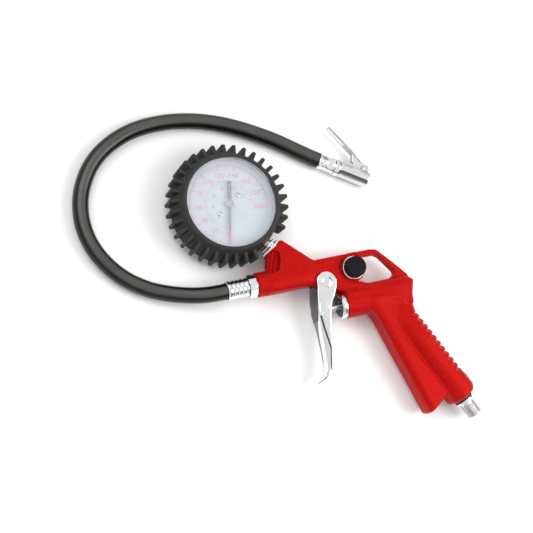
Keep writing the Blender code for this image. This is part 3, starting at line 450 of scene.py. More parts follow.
def fillet_outline(points, radii, steps=5):
    """An outline with each corner rounded to its own radius."""
    rounded = []
    count = len(points)
    for i, (x, y) in enumerate(points):
        radius = radii[i] if isinstance(radii, (list, tuple)) else radii
        here = Vector((x, y))
        before, after = Vector(points[i - 1]) - here, Vector(points[(i + 1) % count]) - here
        half = before.angle(after) / 2.0
        reach = min(radius / math.tan(half), 0.45 * before.length, 0.45 * after.length)
        if radius <= 0.0 or reach < 1e-3:
            rounded.append((x, y))
            continue
        start, end = here + before.normalized() * reach, here + after.normalized() * reach
        for k in range(steps + 1):
            t = k / steps
            spot = start * (1 - t) ** 2 + here * 2 * t * (1 - t) + end * t * t
            rounded.append((spot.x, spot.y))
    return rounded


CUBE = [(i, j, k) for i in (0, 1) for j in (0, 1) for k in (0, 1)]
CUBE_EDGES = [(a, b) for a in range(8) for b in range(a + 1, 8)
              if sum(abs(p - q) for p, q in zip(CUBE[a], CUBE[b])) == 1]


def skin_field(field, low, high, step):
    """The surface where a field of three coordinates is zero, as points and four-sided faces."""
    axes = [np.arange(lo, hi + step, step, dtype=np.float32) for lo, hi in zip(low, high)]
    grid = np.meshgrid(*axes, indexing="ij", sparse=True)
    values = field(grid).astype(np.float32)
    inside = values < 0
    cells = tuple(n - 1 for n in values.shape)
    corners = [inside[i:i + cells[0], j:j + cells[1], k:k + cells[2]] for i, j, k in CUBE]
    filled = sum(c.astype(np.int8) for c in corners)
    active = np.argwhere((filled > 0) & (filled < 8))
    number = np.full(cells, -1, np.int32)
    number[tuple(active.T)] = np.arange(len(active))
    at_corner = [values[tuple((active + np.array(c)).T)] for c in CUBE]
    total, crossings = np.zeros((len(active), 3)), np.zeros(len(active))
    for a, b in CUBE_EDGES:
        first, second = at_corner[a], at_corner[b]
        crossed = (first < 0) != (second < 0)
        share = np.where(crossed, first / np.where(crossed, first - second, 1.0), 0.0)
        spot = np.array(CUBE[a]) + share[:, None] * (np.array(CUBE[b]) - np.array(CUBE[a]))
        total += spot * crossed[:, None]
        crossings += crossed
    points = (active + total / crossings[:, None]) * step + np.array(low)
    faces = []
    for axis in range(3):
        u, v = (axis + 1) % 3, (axis + 2) % 3
        first = np.take(inside, range(values.shape[axis] - 1), axis)
        second = np.take(inside, range(1, values.shape[axis]), axis)
        for leaving, order in ((first & ~second, (0, 1, 2, 3)), (~first & second, (3, 2, 1, 0))):
            edge = np.argwhere(leaving)
            edge = edge[(edge[:, u] > 0) & (edge[:, v] > 0)]
            around = []
            for du, dv in ((-1, -1), (0, -1), (0, 0), (-1, 0)):
                cell = edge.copy()
                cell[:, u] += du
                cell[:, v] += dv
                around.append(number[tuple(cell.T)])
            faces.append(np.stack([around[i] for i in order], 1))
    return points, np.concatenate(faces)


def draw_onto(field, points, rounds=3, reach=0.05):
    """Points pulled along the field's slope onto its surface."""
    for _ in range(rounds):
        value = field([points[:, i] for i in range(3)])
        slope = np.zeros_like(points)
        for i in range(3):
            ahead, behind = points.copy(), points.copy()
            ahead[:, i] += reach
            behind[:, i] -= reach
            slope[:, i] = (field([ahead[:, k] for k in range(3)])
                           - field([behind[:, k] for k in range(3)])) / (2 * reach)
        steep = np.maximum((slope ** 2).sum(1), 0.25)
        shift = slope * (value / steep)[:, None]
        points = points - np.clip(shift, -0.3, 0.3)
    return points


def solid(name, field, low, high, step):
    points, faces = skin_field(field, low, high, step)
    return mesh_of(name, draw_onto(field, points), faces)


# ---------------- floor, light and hose

def pale_floor():
    made = Finish("pale_floor", (0.93, 0.93, 0.93), 0.85)
    made.drive("Base Color", made.ramp(made.noise(4.0, 2.0), [(0.2, 0.92), (0.8, 0.96)]))
    made.set("Specular IOR Level", 0.1)
    return made.material


FLOOR_HALF = 4.0
# Name, place in metres, side in metres, watts.
LIGHTS = [("key", (0.75, -0.3, 0.85), 0.8, 10.0), ("fill", (-0.45, 0.5, 0.95), 0.7, 4.0)]
# The sky's greys from the hose's side to the grip's, with a dark flag low behind the grip.
SKY = [(0.0, 0.9), (0.2, 0.95), (0.3, 1.0), (0.4, 1.0), (0.5, 1.0), (0.7, 1.0), (0.76, 0.3), (1.0, 0.5)]
SKY_LEAN, SKY_STRENGTH = -0.35, 0.8

def make_studio():
    """A pale floor, a large soft key light and a weaker fill."""
    floor = bpy.data.meshes.new("floor")
    corners = [(x * FLOOR_HALF, y * FLOOR_HALF, 0) for x, y in ((-1, -1), (1, -1), (1, 1), (-1, 1))]
    floor.from_pydata(corners, [], [(0, 1, 2, 3)])
    floor.materials.append(pale_floor())
    thing = bpy.data.objects.new("floor", floor)
    bpy.context.scene.collection.objects.link(thing)
    for name, spot, side, power in LIGHTS:
        data = bpy.data.lights.new(name, "AREA")
        data.size, data.energy = side, power
        light = bpy.data.objects.new(name, data)
        bpy.context.scene.collection.objects.link(light)
        light.location = spot
        light.rotation_mode = "QUATERNION"
        light.rotation_quaternion = (-Vector(spot)).to_track_quat("-Z", "Y")


def make_sky():
    """A bright sky for the chrome to reflect, shaded from the hose's side to the grip's."""
    world = bpy.data.worlds.new("studio")
    world.use_nodes = True
    bpy.context.scene.world = world
    nodes, link = world.node_tree.nodes, world.node_tree.links.new
    parts = nodes.new("ShaderNodeSeparateXYZ")
    link(nodes.new("ShaderNodeTexCoord").outputs["Generated"], parts.inputs[0])
    lean, shift = nodes.new("ShaderNodeMath"), nodes.new("ShaderNodeMath")
    lean.operation = shift.operation = "MULTIPLY_ADD"
    lean.inputs[1].default_value = SKY_LEAN
    link(parts.outputs["Y"], lean.inputs[0])
    link(parts.outputs["X"], lean.inputs[2])
    shift.inputs[1].default_value = shift.inputs[2].default_value = 0.5
    link(lean.outputs[0], shift.inputs[0])
    ramp = nodes.new("ShaderNodeValToRGB")
    elements = ramp.color_ramp.elements
    while len(elements) < len(SKY):
        elements.new(0.5)
    for element, (position, grey) in zip(elements, SKY):
        element.position, element.color = position, (grey, grey, grey, 1.0)
    link(shift.outputs[0], ramp.inputs["Fac"])
    link(ramp.outputs["Color"], nodes["Background"].inputs["Color"])
    nodes["Background"].inputs["Strength"].default_value = SKY_STRENGTH

make_studio()
make_sky()
bpy.context.scene.view_settings.view_transform = "Standard"

# The hose's middle line, listed point by point: straight out of the ferrule, down to the surface and round.
HOSE_ROUTE = [
    (-84.3, 10.3, 0.0), (-91.0, 10.3, -0.1), (-99.5, 10.8, -1.0), (-110.0, 12.5, -2.7), (-121.5, 15.7, -4.9),
    (-132.5, 19.7, -6.8), (-143.4, 24.6, -7.9), (-153.6, 30.9, -8.2), (-162.4, 37.9, -8.2),
    (-170.0, 46.2, -8.2), (-176.5, 55.6, -8.2), (-181.6, 66.1, -8.2), (-184.9, 77.4, -8.2),
    (-186.1, 89.4, -8.2), (-185.0, 101.6, -8.2), (-181.8, 113.6, -8.2), (-176.4, 124.8, -8.2),
    (-169.4, 134.8, -8.2), (-161.0, 143.0, -8.2), (-151.4, 149.6, -8.2), (-141.1, 154.8, -8.2),
    (-130.2, 158.6, -8.2), (-118.4, 161.0, -8.2), (-106.1, 162.0, -8.2), (-93.3, 161.9, -8.2),
    (-80.5, 160.5, -8.2), (-67.9, 158.1, -8.2), (-55.7, 154.6, -8.2), (-43.7, 150.2, -8.2),
    (-32.1, 144.9, -8.2), (-20.7, 139.0, -8.2), (-9.4, 132.6, -8.2), (1.6, 125.3, -8.1),
    (12.0, 117.9, -7.8), (21.2, 111.55, -7.5), (27.2, 107.8, -7.5),
]


def smooth_route(points, steps):
    """Points on a smooth curve through a route, with the route's own points among them."""
    route = [Vector(point) for point in points]
    route = [2 * route[0] - route[1]] + route + [2 * route[-1] - route[-2]]
    smooth = []
    for before, start, end, after in zip(route, route[1:], route[2:], route[3:]):
        for i in range(steps):
            t = i / steps
            smooth.append(0.5 * (2 * start + (end - before) * t
                                 + (2 * before - 5 * start + 4 * end - after) * t * t
                                 + (3 * start - before - 3 * end + after) * t ** 3))
    smooth.append(route[-2])
    return smooth


def make_hose():
    route = [(DATUM + point) * MM for point in smooth_route(HOSE_ROUTE, 5)]
    shape = bpy.data.curves.new("whip_hose", "CURVE")
    shape.dimensions = "3D"
    shape.bevel_depth = HOSE_RADIUS * MM
    shape.bevel_resolution = 7
    shape.use_fill_caps = True
    line = shape.splines.new("POLY")
    line.points.add(len(route) - 1)
    for spot, point in zip(line.points, route):
        spot.co = (*point, 1.0)
    line.use_smooth = True
    hose = bpy.data.objects.new("whip_hose", shape)
    bpy.context.scene.collection.objects.link(hose)
    length = sum((b - a).length for a, b in zip(route, route[1:]))
    return settle(hose, "gun", HOSE_RUBBER, "hose_rubber", "air_hose"), route[0], length


HOSE, HOSE_EXIT, HOSE_LENGTH = make_hose()


# ---------------- shapes

def smoothed(mesh, sharp):
    mesh.shade_smooth()
    mesh.set_sharp_from_angle(angle=math.radians(sharp))
    return mesh

def skinned(name, rings, sharp=35):
    """A skin over a closed loop of rings, with doubled points joined and its faces turned outwards."""
    count = len(rings[0])
    points = [p for ring in rings for p in ring]
    faces = []
    for i in range(len(rings)):
        a, b = i * count, (i + 1) % len(rings) * count
        faces += [(a + k, a + (k + 1) % count, b + (k + 1) % count, b + k) for k in range(count)]
    mesh = mesh_of(name, points, faces)
    work = bmesh.new()
    work.from_mesh(mesh)
    bmesh.ops.remove_doubles(work, verts=work.verts, dist=1e-4)
    bmesh.ops.recalc_face_normals(work, faces=work.faces)
    work.to_mesh(mesh)
    work.free()
    return smoothed(mesh, sharp)

def turned(name, profile, steps=72):
    """A closed profile of radius and height, turned about Z."""
    rings = []
    for i in range(steps):
        angle = math.tau * i / steps
        rings.append([(r * math.cos(angle), r * math.sin(angle), z) for r, z in profile])
    return skinned(name, rings)

def rounded(profile, radius, steps=4):
    """A profile with its corners eased; points on the axis stay."""
    radii = [0.0 if r < 1e-6 else radius for r, _ in profile]
    return fillet_outline(profile, radii, steps)


def spun(name, profile, ease, local, rides, finish, slot, *nodes, steps=72, arcs=4):
    """A turned piece with its corners eased, put in its place and settled there."""
    mesh = turned(name, rounded(profile, ease, arcs) if ease else profile, steps)
    return settle(show(name, mesh, local), rides, finish, slot, *nodes)

def nut(name, flats, low, high, bore, chamfer=0.9):
    """A hexagon about Z with its corners turned off at both ends, and a bore."""
    apothem, steps = flats / 2, 96
    full = apothem / math.cos(math.radians(30))
    rings = []
    rows = [(low, bore), (low, apothem * 0.94), (low + chamfer * 0.2, apothem), (low + chamfer, full),
            (high - chamfer, full), (high - chamfer * 0.2, apothem), (high, apothem * 0.94), (high, bore)]
    for height, limit in rows:
        ring = []
        for k in range(steps):
            angle = math.tau * k / steps
            side = (angle % math.radians(60)) - math.radians(30)
            radius = min(apothem / math.cos(side), limit)
            ring.append((radius * math.cos(angle), radius * math.sin(angle), height))
        rings.append(ring)
    return skinned(name, rings, 25)


def threaded(name, root, crest, pitch, low, high, bore):
    """A tube about Z with a helical thread outside, run out at both ends."""
    steps, fine = 64, 7
    rows = int((high - low) / pitch * fine)
    inner = [(bore * math.cos(math.tau * k / steps), bore * math.sin(math.tau * k / steps))
             for k in range(steps)]
    rings = [[(x, y, low) for x, y in inner]]
    for i in range(rows + 1):
        height = low + (high - low) * i / rows
        ease = min(1.0, (height - low) / pitch, (high - height) / pitch * 1.4)
        ring = []
        for k in range(steps):
            phase = (height / pitch - k / steps) % 1.0
            radius = root + (crest - root) * ease * (1.0 - abs(2.0 * phase - 1.0))
            angle = math.tau * k / steps
            ring.append((radius * math.cos(angle), radius * math.sin(angle), height))
        rings.append(ring)
    rings.append([(x, y, high) for x, y in inner])
    return skinned(name, rings, 60)

def plate(name, outline, low, high, edge):
    """A flat piece with that outline and eased edges, between two heights."""
    work = bmesh.new()
    base = work.faces.new([work.verts.new((x, y, low)) for x, y in outline])
    grown = bmesh.ops.extrude_face_region(work, geom=[base])
    top = [v for v in grown["geom"] if isinstance(v, bmesh.types.BMVert)]
    bmesh.ops.translate(work, verts=top, vec=(0, 0, high - low))
    bmesh.ops.recalc_face_normals(work, faces=work.faces)
    caps = [e for e in work.edges if abs(e.verts[0].co.z - e.verts[1].co.z) < 1e-6]
    bmesh.ops.bevel(work, geom=caps, offset=edge, segments=3, profile=0.5, affect="EDGES",
                    clamp_overlap=True)
    mesh = bpy.data.meshes.new(name)
    work.to_mesh(mesh)
    work.free()
    return smoothed(mesh, 35)

# ---------------- gun body

def boss_corner(side):
    face = GAUGE + STEM_DIRECTION * BOSS_FACE
    across = Vector((-STEM_DIRECTION.y, STEM_DIRECTION.x, 0.0)) * BOSS_RADIUS * side
    return ((face + across).x, (face + across).y)


def arc(radius, first, last, steps):
    spots = []
    for i in range(steps + 1):
        angle = math.radians(first + (last - first) * i / steps)
        spots.append((radius * math.cos(angle), radius * math.sin(angle)))
    return spots


HEAD = fillet_outline(
    [boss_corner(-1), boss_corner(1), (-5.5, 20.6), (36.0, 20.6), (38.5, -29.0), (15.4, -29.0),
     (14.2, -10.5)],
    [0.8, 0.8, 5.0, 3.0, 1.0, 1.0, 2.0])
HEAD += arc(6.4, -50.0, -175.0, 14)
HEAD += fillet_outline(
    [(-9.2, 0.9), (-50.0, 0.9), (-50.0, 15.0), (-46.4, 19.0), (-45.6, 24.0)], [0.0, 1.0, 3.0, 2.0, 0.0])
HOOK = fillet_outline(
    [(26.0, 21.2), (48.0, 21.2), (54.5, 19.8), (66.2, 6.6), (77.0, -6.4), (78.6, -13.0), (76.0, -20.0),
     (60.0, -20.0), (28.0, -14.0)], [2.0, 4.0, 4.0, 4.0, 4.0, 3.0, 2.0, 2.0, 2.0])
WINDOW = fillet_outline(
    [(30.0, -4.6), (35.5, -7.0), (60.0, -7.0), (65.4, -4.2), (65.6, -1.2), (55.6, 13.4), (51.5, 15.9),
     (30.0, 15.9)], [1.0, 3.5, 3.0, 3.0, 3.0, 4.0, 4.0, 2.0])
SHOULDER = fillet_outline(
    [(14.6, -9.6), (58.0, -11.6), (74.0, -9.2), (77.5, -13.0), (73.4, -24.5), (72.5, -33.0), (54.4, -25.0),
     (14.8, -22.6)], 1.6)
TANG = fillet_outline(
    [(34.0, -7.6), (66.0, -7.6), (74.8, -8.4), (76.9, -13.4), (73.4, -24.5), (73.0, -36.0), (70.0, -48.0),
     (52.0, -48.0), (34.0, -24.0)], 2.5)
FRONT_EDGE = [(34.6, -29.0), (39.3, -37.6), (50.6, -80.6), (62.5, -124.6), (64.2, -125.7), (67.4, -124.6),
              (80.8, -116.0)]
FRONT_CORE = fillet_outline(FRONT_EDGE + [(88.0, -110.0), (76.0, -60.0), (62.0, -22.0), (36.0, -20.0)], 2.0)
FRONT_LOBE = fillet_outline(
    FRONT_EDGE + [(84.2, -113.6), (60.5, -64.0), (46.2, -33.0), (44.0, -22.0), (36.0, -20.0)],
    [2.0, 6.0, 6.0, 1.5, 1.0, 1.5, 3.0, 3.0, 9.0, 4.0, 2.0, 2.0])
PANEL = fillet_outline(
    [(-52.0, 19.0), (-47.0, 33.5), (-41.0, 35.5), (-34.5, 33.0), (-34.6, 26.0), (-38.0, 17.5),
     (-46.0, 16.5)], 2.0)


def rear_lobe(x, y, z):
    """The palm side of the grip, with saw grooves across its back."""
    dx, dy = x - LOBE_END.x, y - LOBE_END.y
    u = dx * -LOBE_DIRECTION.y + dy * LOBE_DIRECTION.x
    s = -(dx * LOBE_DIRECTION.x + dy * LOBE_DIRECTION.y)
    turns = (s - SERRATION_START) / SERRATION_PITCH
    phase = turns - np.floor(turns)
    depth = SERRATION_DEPTH * np.interp(phase, [0.0, 0.2, 0.5, 0.88, 1.0], [1.0, 0.0, 0.0, 1.0, 1.0])
    depth = depth * ((turns > -0.02) & (turns < SERRATIONS))
    back = LOBE_BACK + np.interp(s, [0.0, 5.0, 14.0, 18.0, 84.0, 104.0], [-1.4, 0.5, 0.6, 0.0, 0.0, -0.6])
    d_back = u - back
    d_front = np.hypot(u - 12.0, np.maximum(s - 80.0, 0.0)) - 23.9
    narrowing = 3.8 * np.clip((s - 56.0) / 42.0, 0.0, 1.0) ** 1.5
    half = PALM_HALF - narrowing - 1.6 * np.clip((6.0 - s) / 6.0, 0.0, 1.0) ** 2
    section = corner(np.maximum(d_front, d_back), np.abs(z) - half, 10.5)
    section = section + depth * np.clip((u - 4.5) / 2.5, 0.0, 1.0)
    return corner(corner(section, -s, 3.0), s - 108.0, 3.0)


def front_lobe(x, y, z):
    """The finger side of the grip, with a narrow facet down its front edge."""
    lobe = slab(polygon_distance(x, y, FRONT_LOBE), z, SIDE_HALF, 4.2)
    inward = (x - 39.3) * 0.9662 + (y + 37.6) * 0.2577
    facet = ((np.abs(z) - SIDE_HALF + 1.8) * 2.8 - inward * 1.8) / 3.33
    return -blend(-lobe, -facet, 1.2)


def body_field(p):
    x, y = np.broadcast_arrays(p[0], p[1])
    z = p[2]
    body = bevelled_slab(polygon_distance(x, y, HEAD), z, HEAD_HALF, 2.6, 1.6, 0.8)
    body = blend(body, cylinder(p, (BARREL_FRONT_X, BARREL_Y, 0), X_AXIS, BARREL_RADIUS, 0, 46, 0.8), 2.4)
    boss = GAUGE + STEM_DIRECTION * BOSS_FACE
    body = blend(body, cylinder(p, boss, STEM_DIRECTION, 9.6, -0.4, 27.0, 0.8), 2.4)
    body = blend(body, slab(polygon_distance(x, y, HOOK), z, HOOK_HALF, 1.8), 2.0)
    shoulder = slab(polygon_distance(x, y, SHOULDER), z, 11.6, 1.2)
    ridge_y = np.interp(x, [12.7, 59.0, 74.2], [-9.4, -11.9, -9.1])
    ridge = ((np.abs(z) - 9.4) * 3.2 + (y - ridge_y) * 2.2) / 3.88
    body = blend(body, -blend(-shoulder, -ridge, 0.6), 1.0)
    chamber = cylinder(p, (CHAMBER_FACE_X, CHAMBER_Y, 0), X_AXIS, CHAMBER_RADIUS, 0, 46, 1.0)
    body = blend(body, chamber, 1.5)
    body = blend(body, slab(polygon_distance(x, y, TANG), z, TANG_HALF, 4.0), 2.0)
    core_half = np.interp(y, [-125.0, -95.0, -60.0, -35.0], [5.5, 7.2, 9.6, 10.6])
    grip = blend(front_lobe(x, y, z), slab(polygon_distance(x, y, FRONT_CORE), z, core_half, 2.5), 2.0)
    grip = blend(grip, rear_lobe(x, y, z), 2.2)
    body = blend(body, grip, 3.0)
    round_bleed = np.hypot(x - BLEED.x, y - BLEED.y)
    window = np.maximum(polygon_distance(x, y, WINDOW), 11.4 - round_bleed)
    body = carve(body, window, 1.2)
    ribs = np.abs(((x * 0.93 - y * 0.37) / 3.6) % 1.0 - 0.5) * 3.6
    off_stem = (x - GAUGE.x) * STEM_DIRECTION.y - (y - GAUGE.y) * STEM_DIRECTION.x
    wall = np.sqrt(np.maximum(STEM_WALL ** 2 - off_stem ** 2, 0.0))
    floor = np.maximum(np.where(ribs < 0.7, 6.8, 4.6), wall)
    body = carve(body, np.maximum(polygon_distance(x, y, PANEL), floor - np.abs(z)), 0.6)
    body = carve(body, np.maximum(np.abs(round_bleed - 11.45) - 1.15, 6.8 - z), 0.4)
    for start, direction, radius, low, high in BORES:
        body = np.maximum(body, -cylinder(p, start, direction, radius, low, high, 0.05))
    return body


GAUGE_FACE = GAUGE + STEM_DIRECTION * (BOSS_FACE + 0.5)
RISING_LOW, RISING_HIGH = Vector((23.0, -18.0, 0.0)), Vector((15.5, 10.3, 0.0))
# Start, direction, radius, and how far it runs, from and to.
BORES = [
    ((BARREL_FRONT_X, BARREL_Y, 0), X_AXIS, 6.3, -3, 11),
    ((BARREL_FRONT_X, BARREL_Y, 0), X_AXIS, 2.5, 10, 84),
    (GAUGE_FACE, STEM_DIRECTION, 5.3, -3, 11), (GAUGE_FACE, STEM_DIRECTION, 1.6, 10, 33),
    ((0, 0, 0), Z_AXIS, 2.68, -20, 20), (BLEED, Z_AXIS, 5.0, -6, 3.3), (BLEED, Z_AXIS, 6.5, 3.2, 20),
    ((CHAMBER_FACE_X, CHAMBER_Y, 0), X_AXIS, 7.5, -2, 38.4),
    (RISING_LOW, (RISING_HIGH - RISING_LOW).normalized(), 1.9, 0, 29.2),
    (LOBE_END, -LOBE_DIRECTION, 6.4, -3, 13), (LOBE_END, -LOBE_DIRECTION, 3.0, 12, 107),
]
body_mesh = solid("gun_casting", body_field, (-60, -134, -16), (115, 46, 16), step=0.62)
settle(show("gun_casting", body_mesh), "gun", RED, "body_paint", "body_casting")


# ---------------- trigger

SHEET = 1.6  # the thickness of the pressed sheet
TRIGGER_FRONT = [
    (-8.6, -0.9), (-10.6, -8.5), (-12.2, -16.0), (-13.7, -24.0), (-14.5, -30.0), (-15.4, -42.0),
    (-16.1, -54.0), (-16.8, -64.0), (-18.0, -71.0), (-20.6, -75.6), (-24.4, -78.6), (-28.4, -80.2),
]
TRIGGER_BACK = [
    (-27.6, -82.4), (-22.8, -81.2), (-17.8, -77.8), (-13.7, -72.1), (-11.6, -63.6), (-9.5, -53.7),
    (-7.0, -41.7), (-4.3, -30.0), (-2.5, -24.0), (0.4, -16.0), (3.4, -12.6),
]
FRONT_RUN = [tuple(p)[:2] for p in smooth_route([(*q, 0.0) for q in TRIGGER_FRONT], 3)]
FRONT_SIDE = FRONT_RUN + [(-28.4, -100.0), (60.0, -100.0), (60.0, 30.0), (-8.4, 30.0)]
TRIGGER_SIDE = FRONT_RUN + TRIGGER_BACK + arc(8.75, -30.0, 186.0, 24)


def trigger_field(p):
    """A pressed channel: flat at the top with tight bends, round down the front, and a curled tip."""
    x, y = np.broadcast_arrays(p[0], p[1])
    z = p[2]
    front = polygon_distance(x, y, FRONT_SIDE)
    side = polygon_distance(x, y, TRIGGER_SIDE)
    bend = np.interp(-y, [0, 24, 30, 36, 44, 54, 66, 76, 82], [2.2, 2.4, 5.4, 8.0, 9.2, 9.6, 9.2, 7.0, 3.5])
    half = np.interp(-y, [0, 26, 42, 64, 71, 76, 79, 82], [11.0, 11.0, 10.7, 10.2, 9.9, 9.4, 8.8, 7.0])
    behind = np.clip((-front - np.interp(-y, [20, 26, 54, 66], [20.0, 2.0, 6.6, 20.0])) / 0.5, 0.0, 1.0)
    half = half - 0.5 * (1.0 - behind) * np.clip((-24.0 - y) / 3.0, 0.0, 1.0)
    outer = corner(front, np.abs(z) - half, bend)
    inner = corner(front + SHEET, np.abs(z) - half + SHEET, np.maximum(bend - SHEET, 0.6))
    channel = np.maximum(np.maximum(outer, -inner), side)
    mouth = np.maximum(-y - 1.2, np.abs(z) - 9.4)
    channel = np.maximum(channel, -mouth)
    ears = np.maximum(np.maximum(side, -y - 16.0), np.abs(np.abs(z) - 10.2) - 0.8)
    both = blend(channel, ears, 0.15)
    return np.maximum(both, 2.9 - np.hypot(x, y))


trigger_mesh = solid("trigger_pressing", trigger_field, (-31, -84, -12), (10, 10, 12), step=0.4)
settle(show("trigger_pressing", trigger_mesh), "trigger", TRIGGER_CHROME, "chrome_plate", "trigger_lever")
spun("trigger_rivet", [(0, -12.7), (2.1, -12.7), (2.6, -11.3), (2.6, 11.25), (4.7, 11.25), (4.5, 11.8),
                       (3.2, 12.3), (0, 12.5)], 0.4, None, "gun", CHROME, "chrome_plate", "trigger_pin")

# ---------------- valves

ACROSS = Matrix.Translation((0.0, CHAMBER_Y, 0.0)) @ along(X_AXIS)
spun("gland_nut", [(2.58, 9.2), (9.6, 9.2), (11.0, 10.4), (11.0, 13.3), (7.2, 13.3), (7.2, 21.0),
                   (2.58, 21.0)], 0.35, ACROSS, "gun", CHROME, "chrome_plate", "valve_gland_nut")
spun("valve_push_stem", [(0, -10.9), (1.4, -10.8), (2.5, -9.6), (2.5, 23.6), (1.5, 24.6), (1.5, 34.6),
                         (0, 34.6)], 0.4, ACROSS, "valve", STEEL, "spring_steel", "valve_stem", steps=32)
BLEED_PLACE = Matrix.Translation(BLEED)
spun("bleed_collar", [(1.58, 3.6), (6.2, 3.6), (6.2, 9.06), (10.0, 9.06), (10.0, 10.7), (9.6, 11.2),
                      (9.1, 11.2), (9.1, 9.36), (1.58, 9.36)], 0.12, BLEED_PLACE, "gun", CHROME,
     "chrome_plate", "bleed_valve_body")
spun("bleed_cap", [(0, 11.95), (8.8, 11.95), (8.8, 16.7), (8.2, 17.2), (5.6, 17.35), (0, 17.4)], 0.35,
     BLEED_PLACE, "bleed_valve", BLACK_PLASTIC, "button_plastic", "bleed_button")

# ---------------- hose end and inlet

FITTING = Matrix.Translation((BARREL_FRONT_X, BARREL_Y, 0.0)) @ along((-1, 0, 0))
settle(show("hose_hexagon", nut("hose_hexagon", 17.0, 0.3, 7.4, 2.2), FITTING), "gun", CHROME,
       "chrome_plate", "hose_fitting")
crimp = [(4.3, 7.7), (7.6, 7.7), (8.0, 8.3)]
for groove in (11.0, 14.6, 18.2, 21.8):
    crimp += [(8.0, groove - 1.3), (7.45, groove - 0.6), (7.45, groove + 0.6), (8.0, groove + 1.3)]
crimp += [(8.0, 25.4), (7.5, 26.0), (4.3, 26.0)]
spun("hose_crimp", crimp, 0.3, FITTING, "gun", CHROME, "chrome_plate", "hose_ferrule", arcs=2)
INLET = Matrix.Translation(LOBE_END) @ along(LOBE_DIRECTION)
spun("inlet_flange", [(4.0, 1.9), (8.6, 1.9), (9.0, 2.4), (9.0, 3.6), (8.0, 4.3), (6.0, 4.6), (6.0, 6.2),
                      (4.0, 6.2)], 0.3, INLET, "gun", CHROME, "chrome_plate")
settle(show("inlet_thread", threaded("inlet_thread", 6.2, 6.7, 1.34, 6.1, 18.2, 4.0), INLET), "gun", STEEL,
       "chrome_plate", "inlet_nipple")
spun("inlet_tail", [(4.0, -11.0), (6.0, -11.0), (6.0, 2.4), (4.0, 2.4)], 0.3, INLET, "gun", CHROME,
     "chrome_plate", steps=48)
spun("inlet_ring", [(6.4, 0.3), (8.3, 0.3), (8.3, 1.8), (6.4, 1.8)], 0.3, INLET, "gun", SEAL_RUBBER,
     "seal_rubber", "inlet_washer")

# ---------------- chuck

CHUCK_LINE = chuck_axes() @ along(X_AXIS)
chuck_pieces = [
    spun("chuck_crimp", [(3.6, 0.3), (6.9, 0.3), (7.1, 0.9), (7.1, 2.4), (6.5, 3.2), (6.5, 6.4), (6.2, 7.0),
                         (6.2, 7.8), (6.5, 8.4), (6.5, 13.2), (6.9, 14.0), (6.9, 15.0), (3.6, 15.0)], 0.25,
         CHUCK_LINE, "gun", CHROME, "chrome_plate", "chuck_ferrule", arcs=2),
    spun("chuck_collar", [(1.8, 15.3), (7.3, 15.3), (7.3, 19.6), (4.6, 19.6), (4.6, 25.0), (1.8, 25.0)], 0.4,
         CHUCK_LINE, "gun", CHROME, "chrome_plate", "chuck_hose_fitting"),
]

def chuck_field(p):
    """The chuck's body: round, fuller at the mouth, faceted below, with two cheeks and the lever's slot."""
    s, t, z = p
    swell = np.interp(s, [20, 30, 38, 47], [7.0, 7.0, 7.25, 7.3])
    body = corner(np.hypot(t * 0.94 + 0.1, z) - swell, np.maximum(20.0 - s, s - 47.0), 0.7)
    body = -blend(-body, -np.maximum(-t - 6.4, -t * 0.7 - z * 0.72 - 6.6), 0.5)
    cheeks = corner(polygon_distance(*np.broadcast_arrays(s, t), CHEEK), np.abs(z) - 5.2, 0.8)
    body = blend(body, cheeks, 0.8)
    slot = np.maximum(np.maximum(26.8 - s, 3.2 - t), np.abs(z) - 2.6)
    way = np.minimum(slot, np.hypot(s - LEVER_PIN[0], t - LEVER_PIN[1]) - 1.3)
    for radius, low, high in ((4.9, 18, 26), (1.8, 25, 34), (5.0, 33, 50)):
        way = np.minimum(way, cylinder(p, ORIGIN, X_AXIS, radius, low, high, 0.05))
    return np.maximum(body, -way)

CHEEK = fillet_outline(
    [(23.5, 0.0), (23.5, 4.8), (33.5, 8.6), (39.8, 11.2), (43.2, 10.8), (44.4, 8.0), (44.4, 0.0)], 1.4)
chuck_mesh = solid("chuck_barrel", chuck_field, (18, -9, -9), (49, 12, 9), step=0.35)
chuck_pieces.append(settle(show("chuck_barrel", chuck_mesh, chuck_axes()), "gun", CHUCK_CHROME,
                           "chrome_plate", "chuck_body"))
PIVOT = chuck_axes() @ Matrix.Translation((*LEVER_PIN, 0.0))
web = fillet_outline([(-39.2, 23.2), (-38.7, 24.3), (-12.6, 11.6), (3.4, 3.2), (4.6, 0.6), (5.6, -3.4),
                      (3.8, -4.0), (1.6, -1.6), (-2.6, -1.4), (-10.0, 2.4), (-12.0, 10.0)], 0.5)
lever = show("thumb_lever_web", plate("thumb_lever_web", web, -2.2, 2.2, 0.4), PIVOT)
chuck_pieces.append(settle(lever, "thumb_lever", CHROME, "chrome_plate", "chuck_lever"))
pad = fillet_outline([(-39.6, 23.9), (-38.9, 24.7), (-24.0, 17.4), (-12.6, 11.6), (-2.0, 6.0), (-2.6, 4.9),
                      (-13.2, 10.4), (-24.6, 16.2)], 0.3)
lever = show("thumb_lever_pad", plate("thumb_lever_pad", pad, -3.6, 3.6, 0.35), PIVOT)
chuck_pieces.append(settle(lever, "thumb_lever", STEEL, "chrome_plate"))
chuck_pieces.append(
    spun("lever_rivet", [(0, -5.6), (1.2, -5.6), (1.2, 5.5), (1.7, 5.5), (1.5, 6.0), (0, 6.1)], 0.2, PIVOT,
         "gun", STEEL, "spring_steel", "chuck_lever_pin", steps=32))
chuck_pieces += [frame["nodes"][n] for n in ("chuck_seal", "valve_core_depressor", "chuck_lever_spring")]

# ---------------- gauge

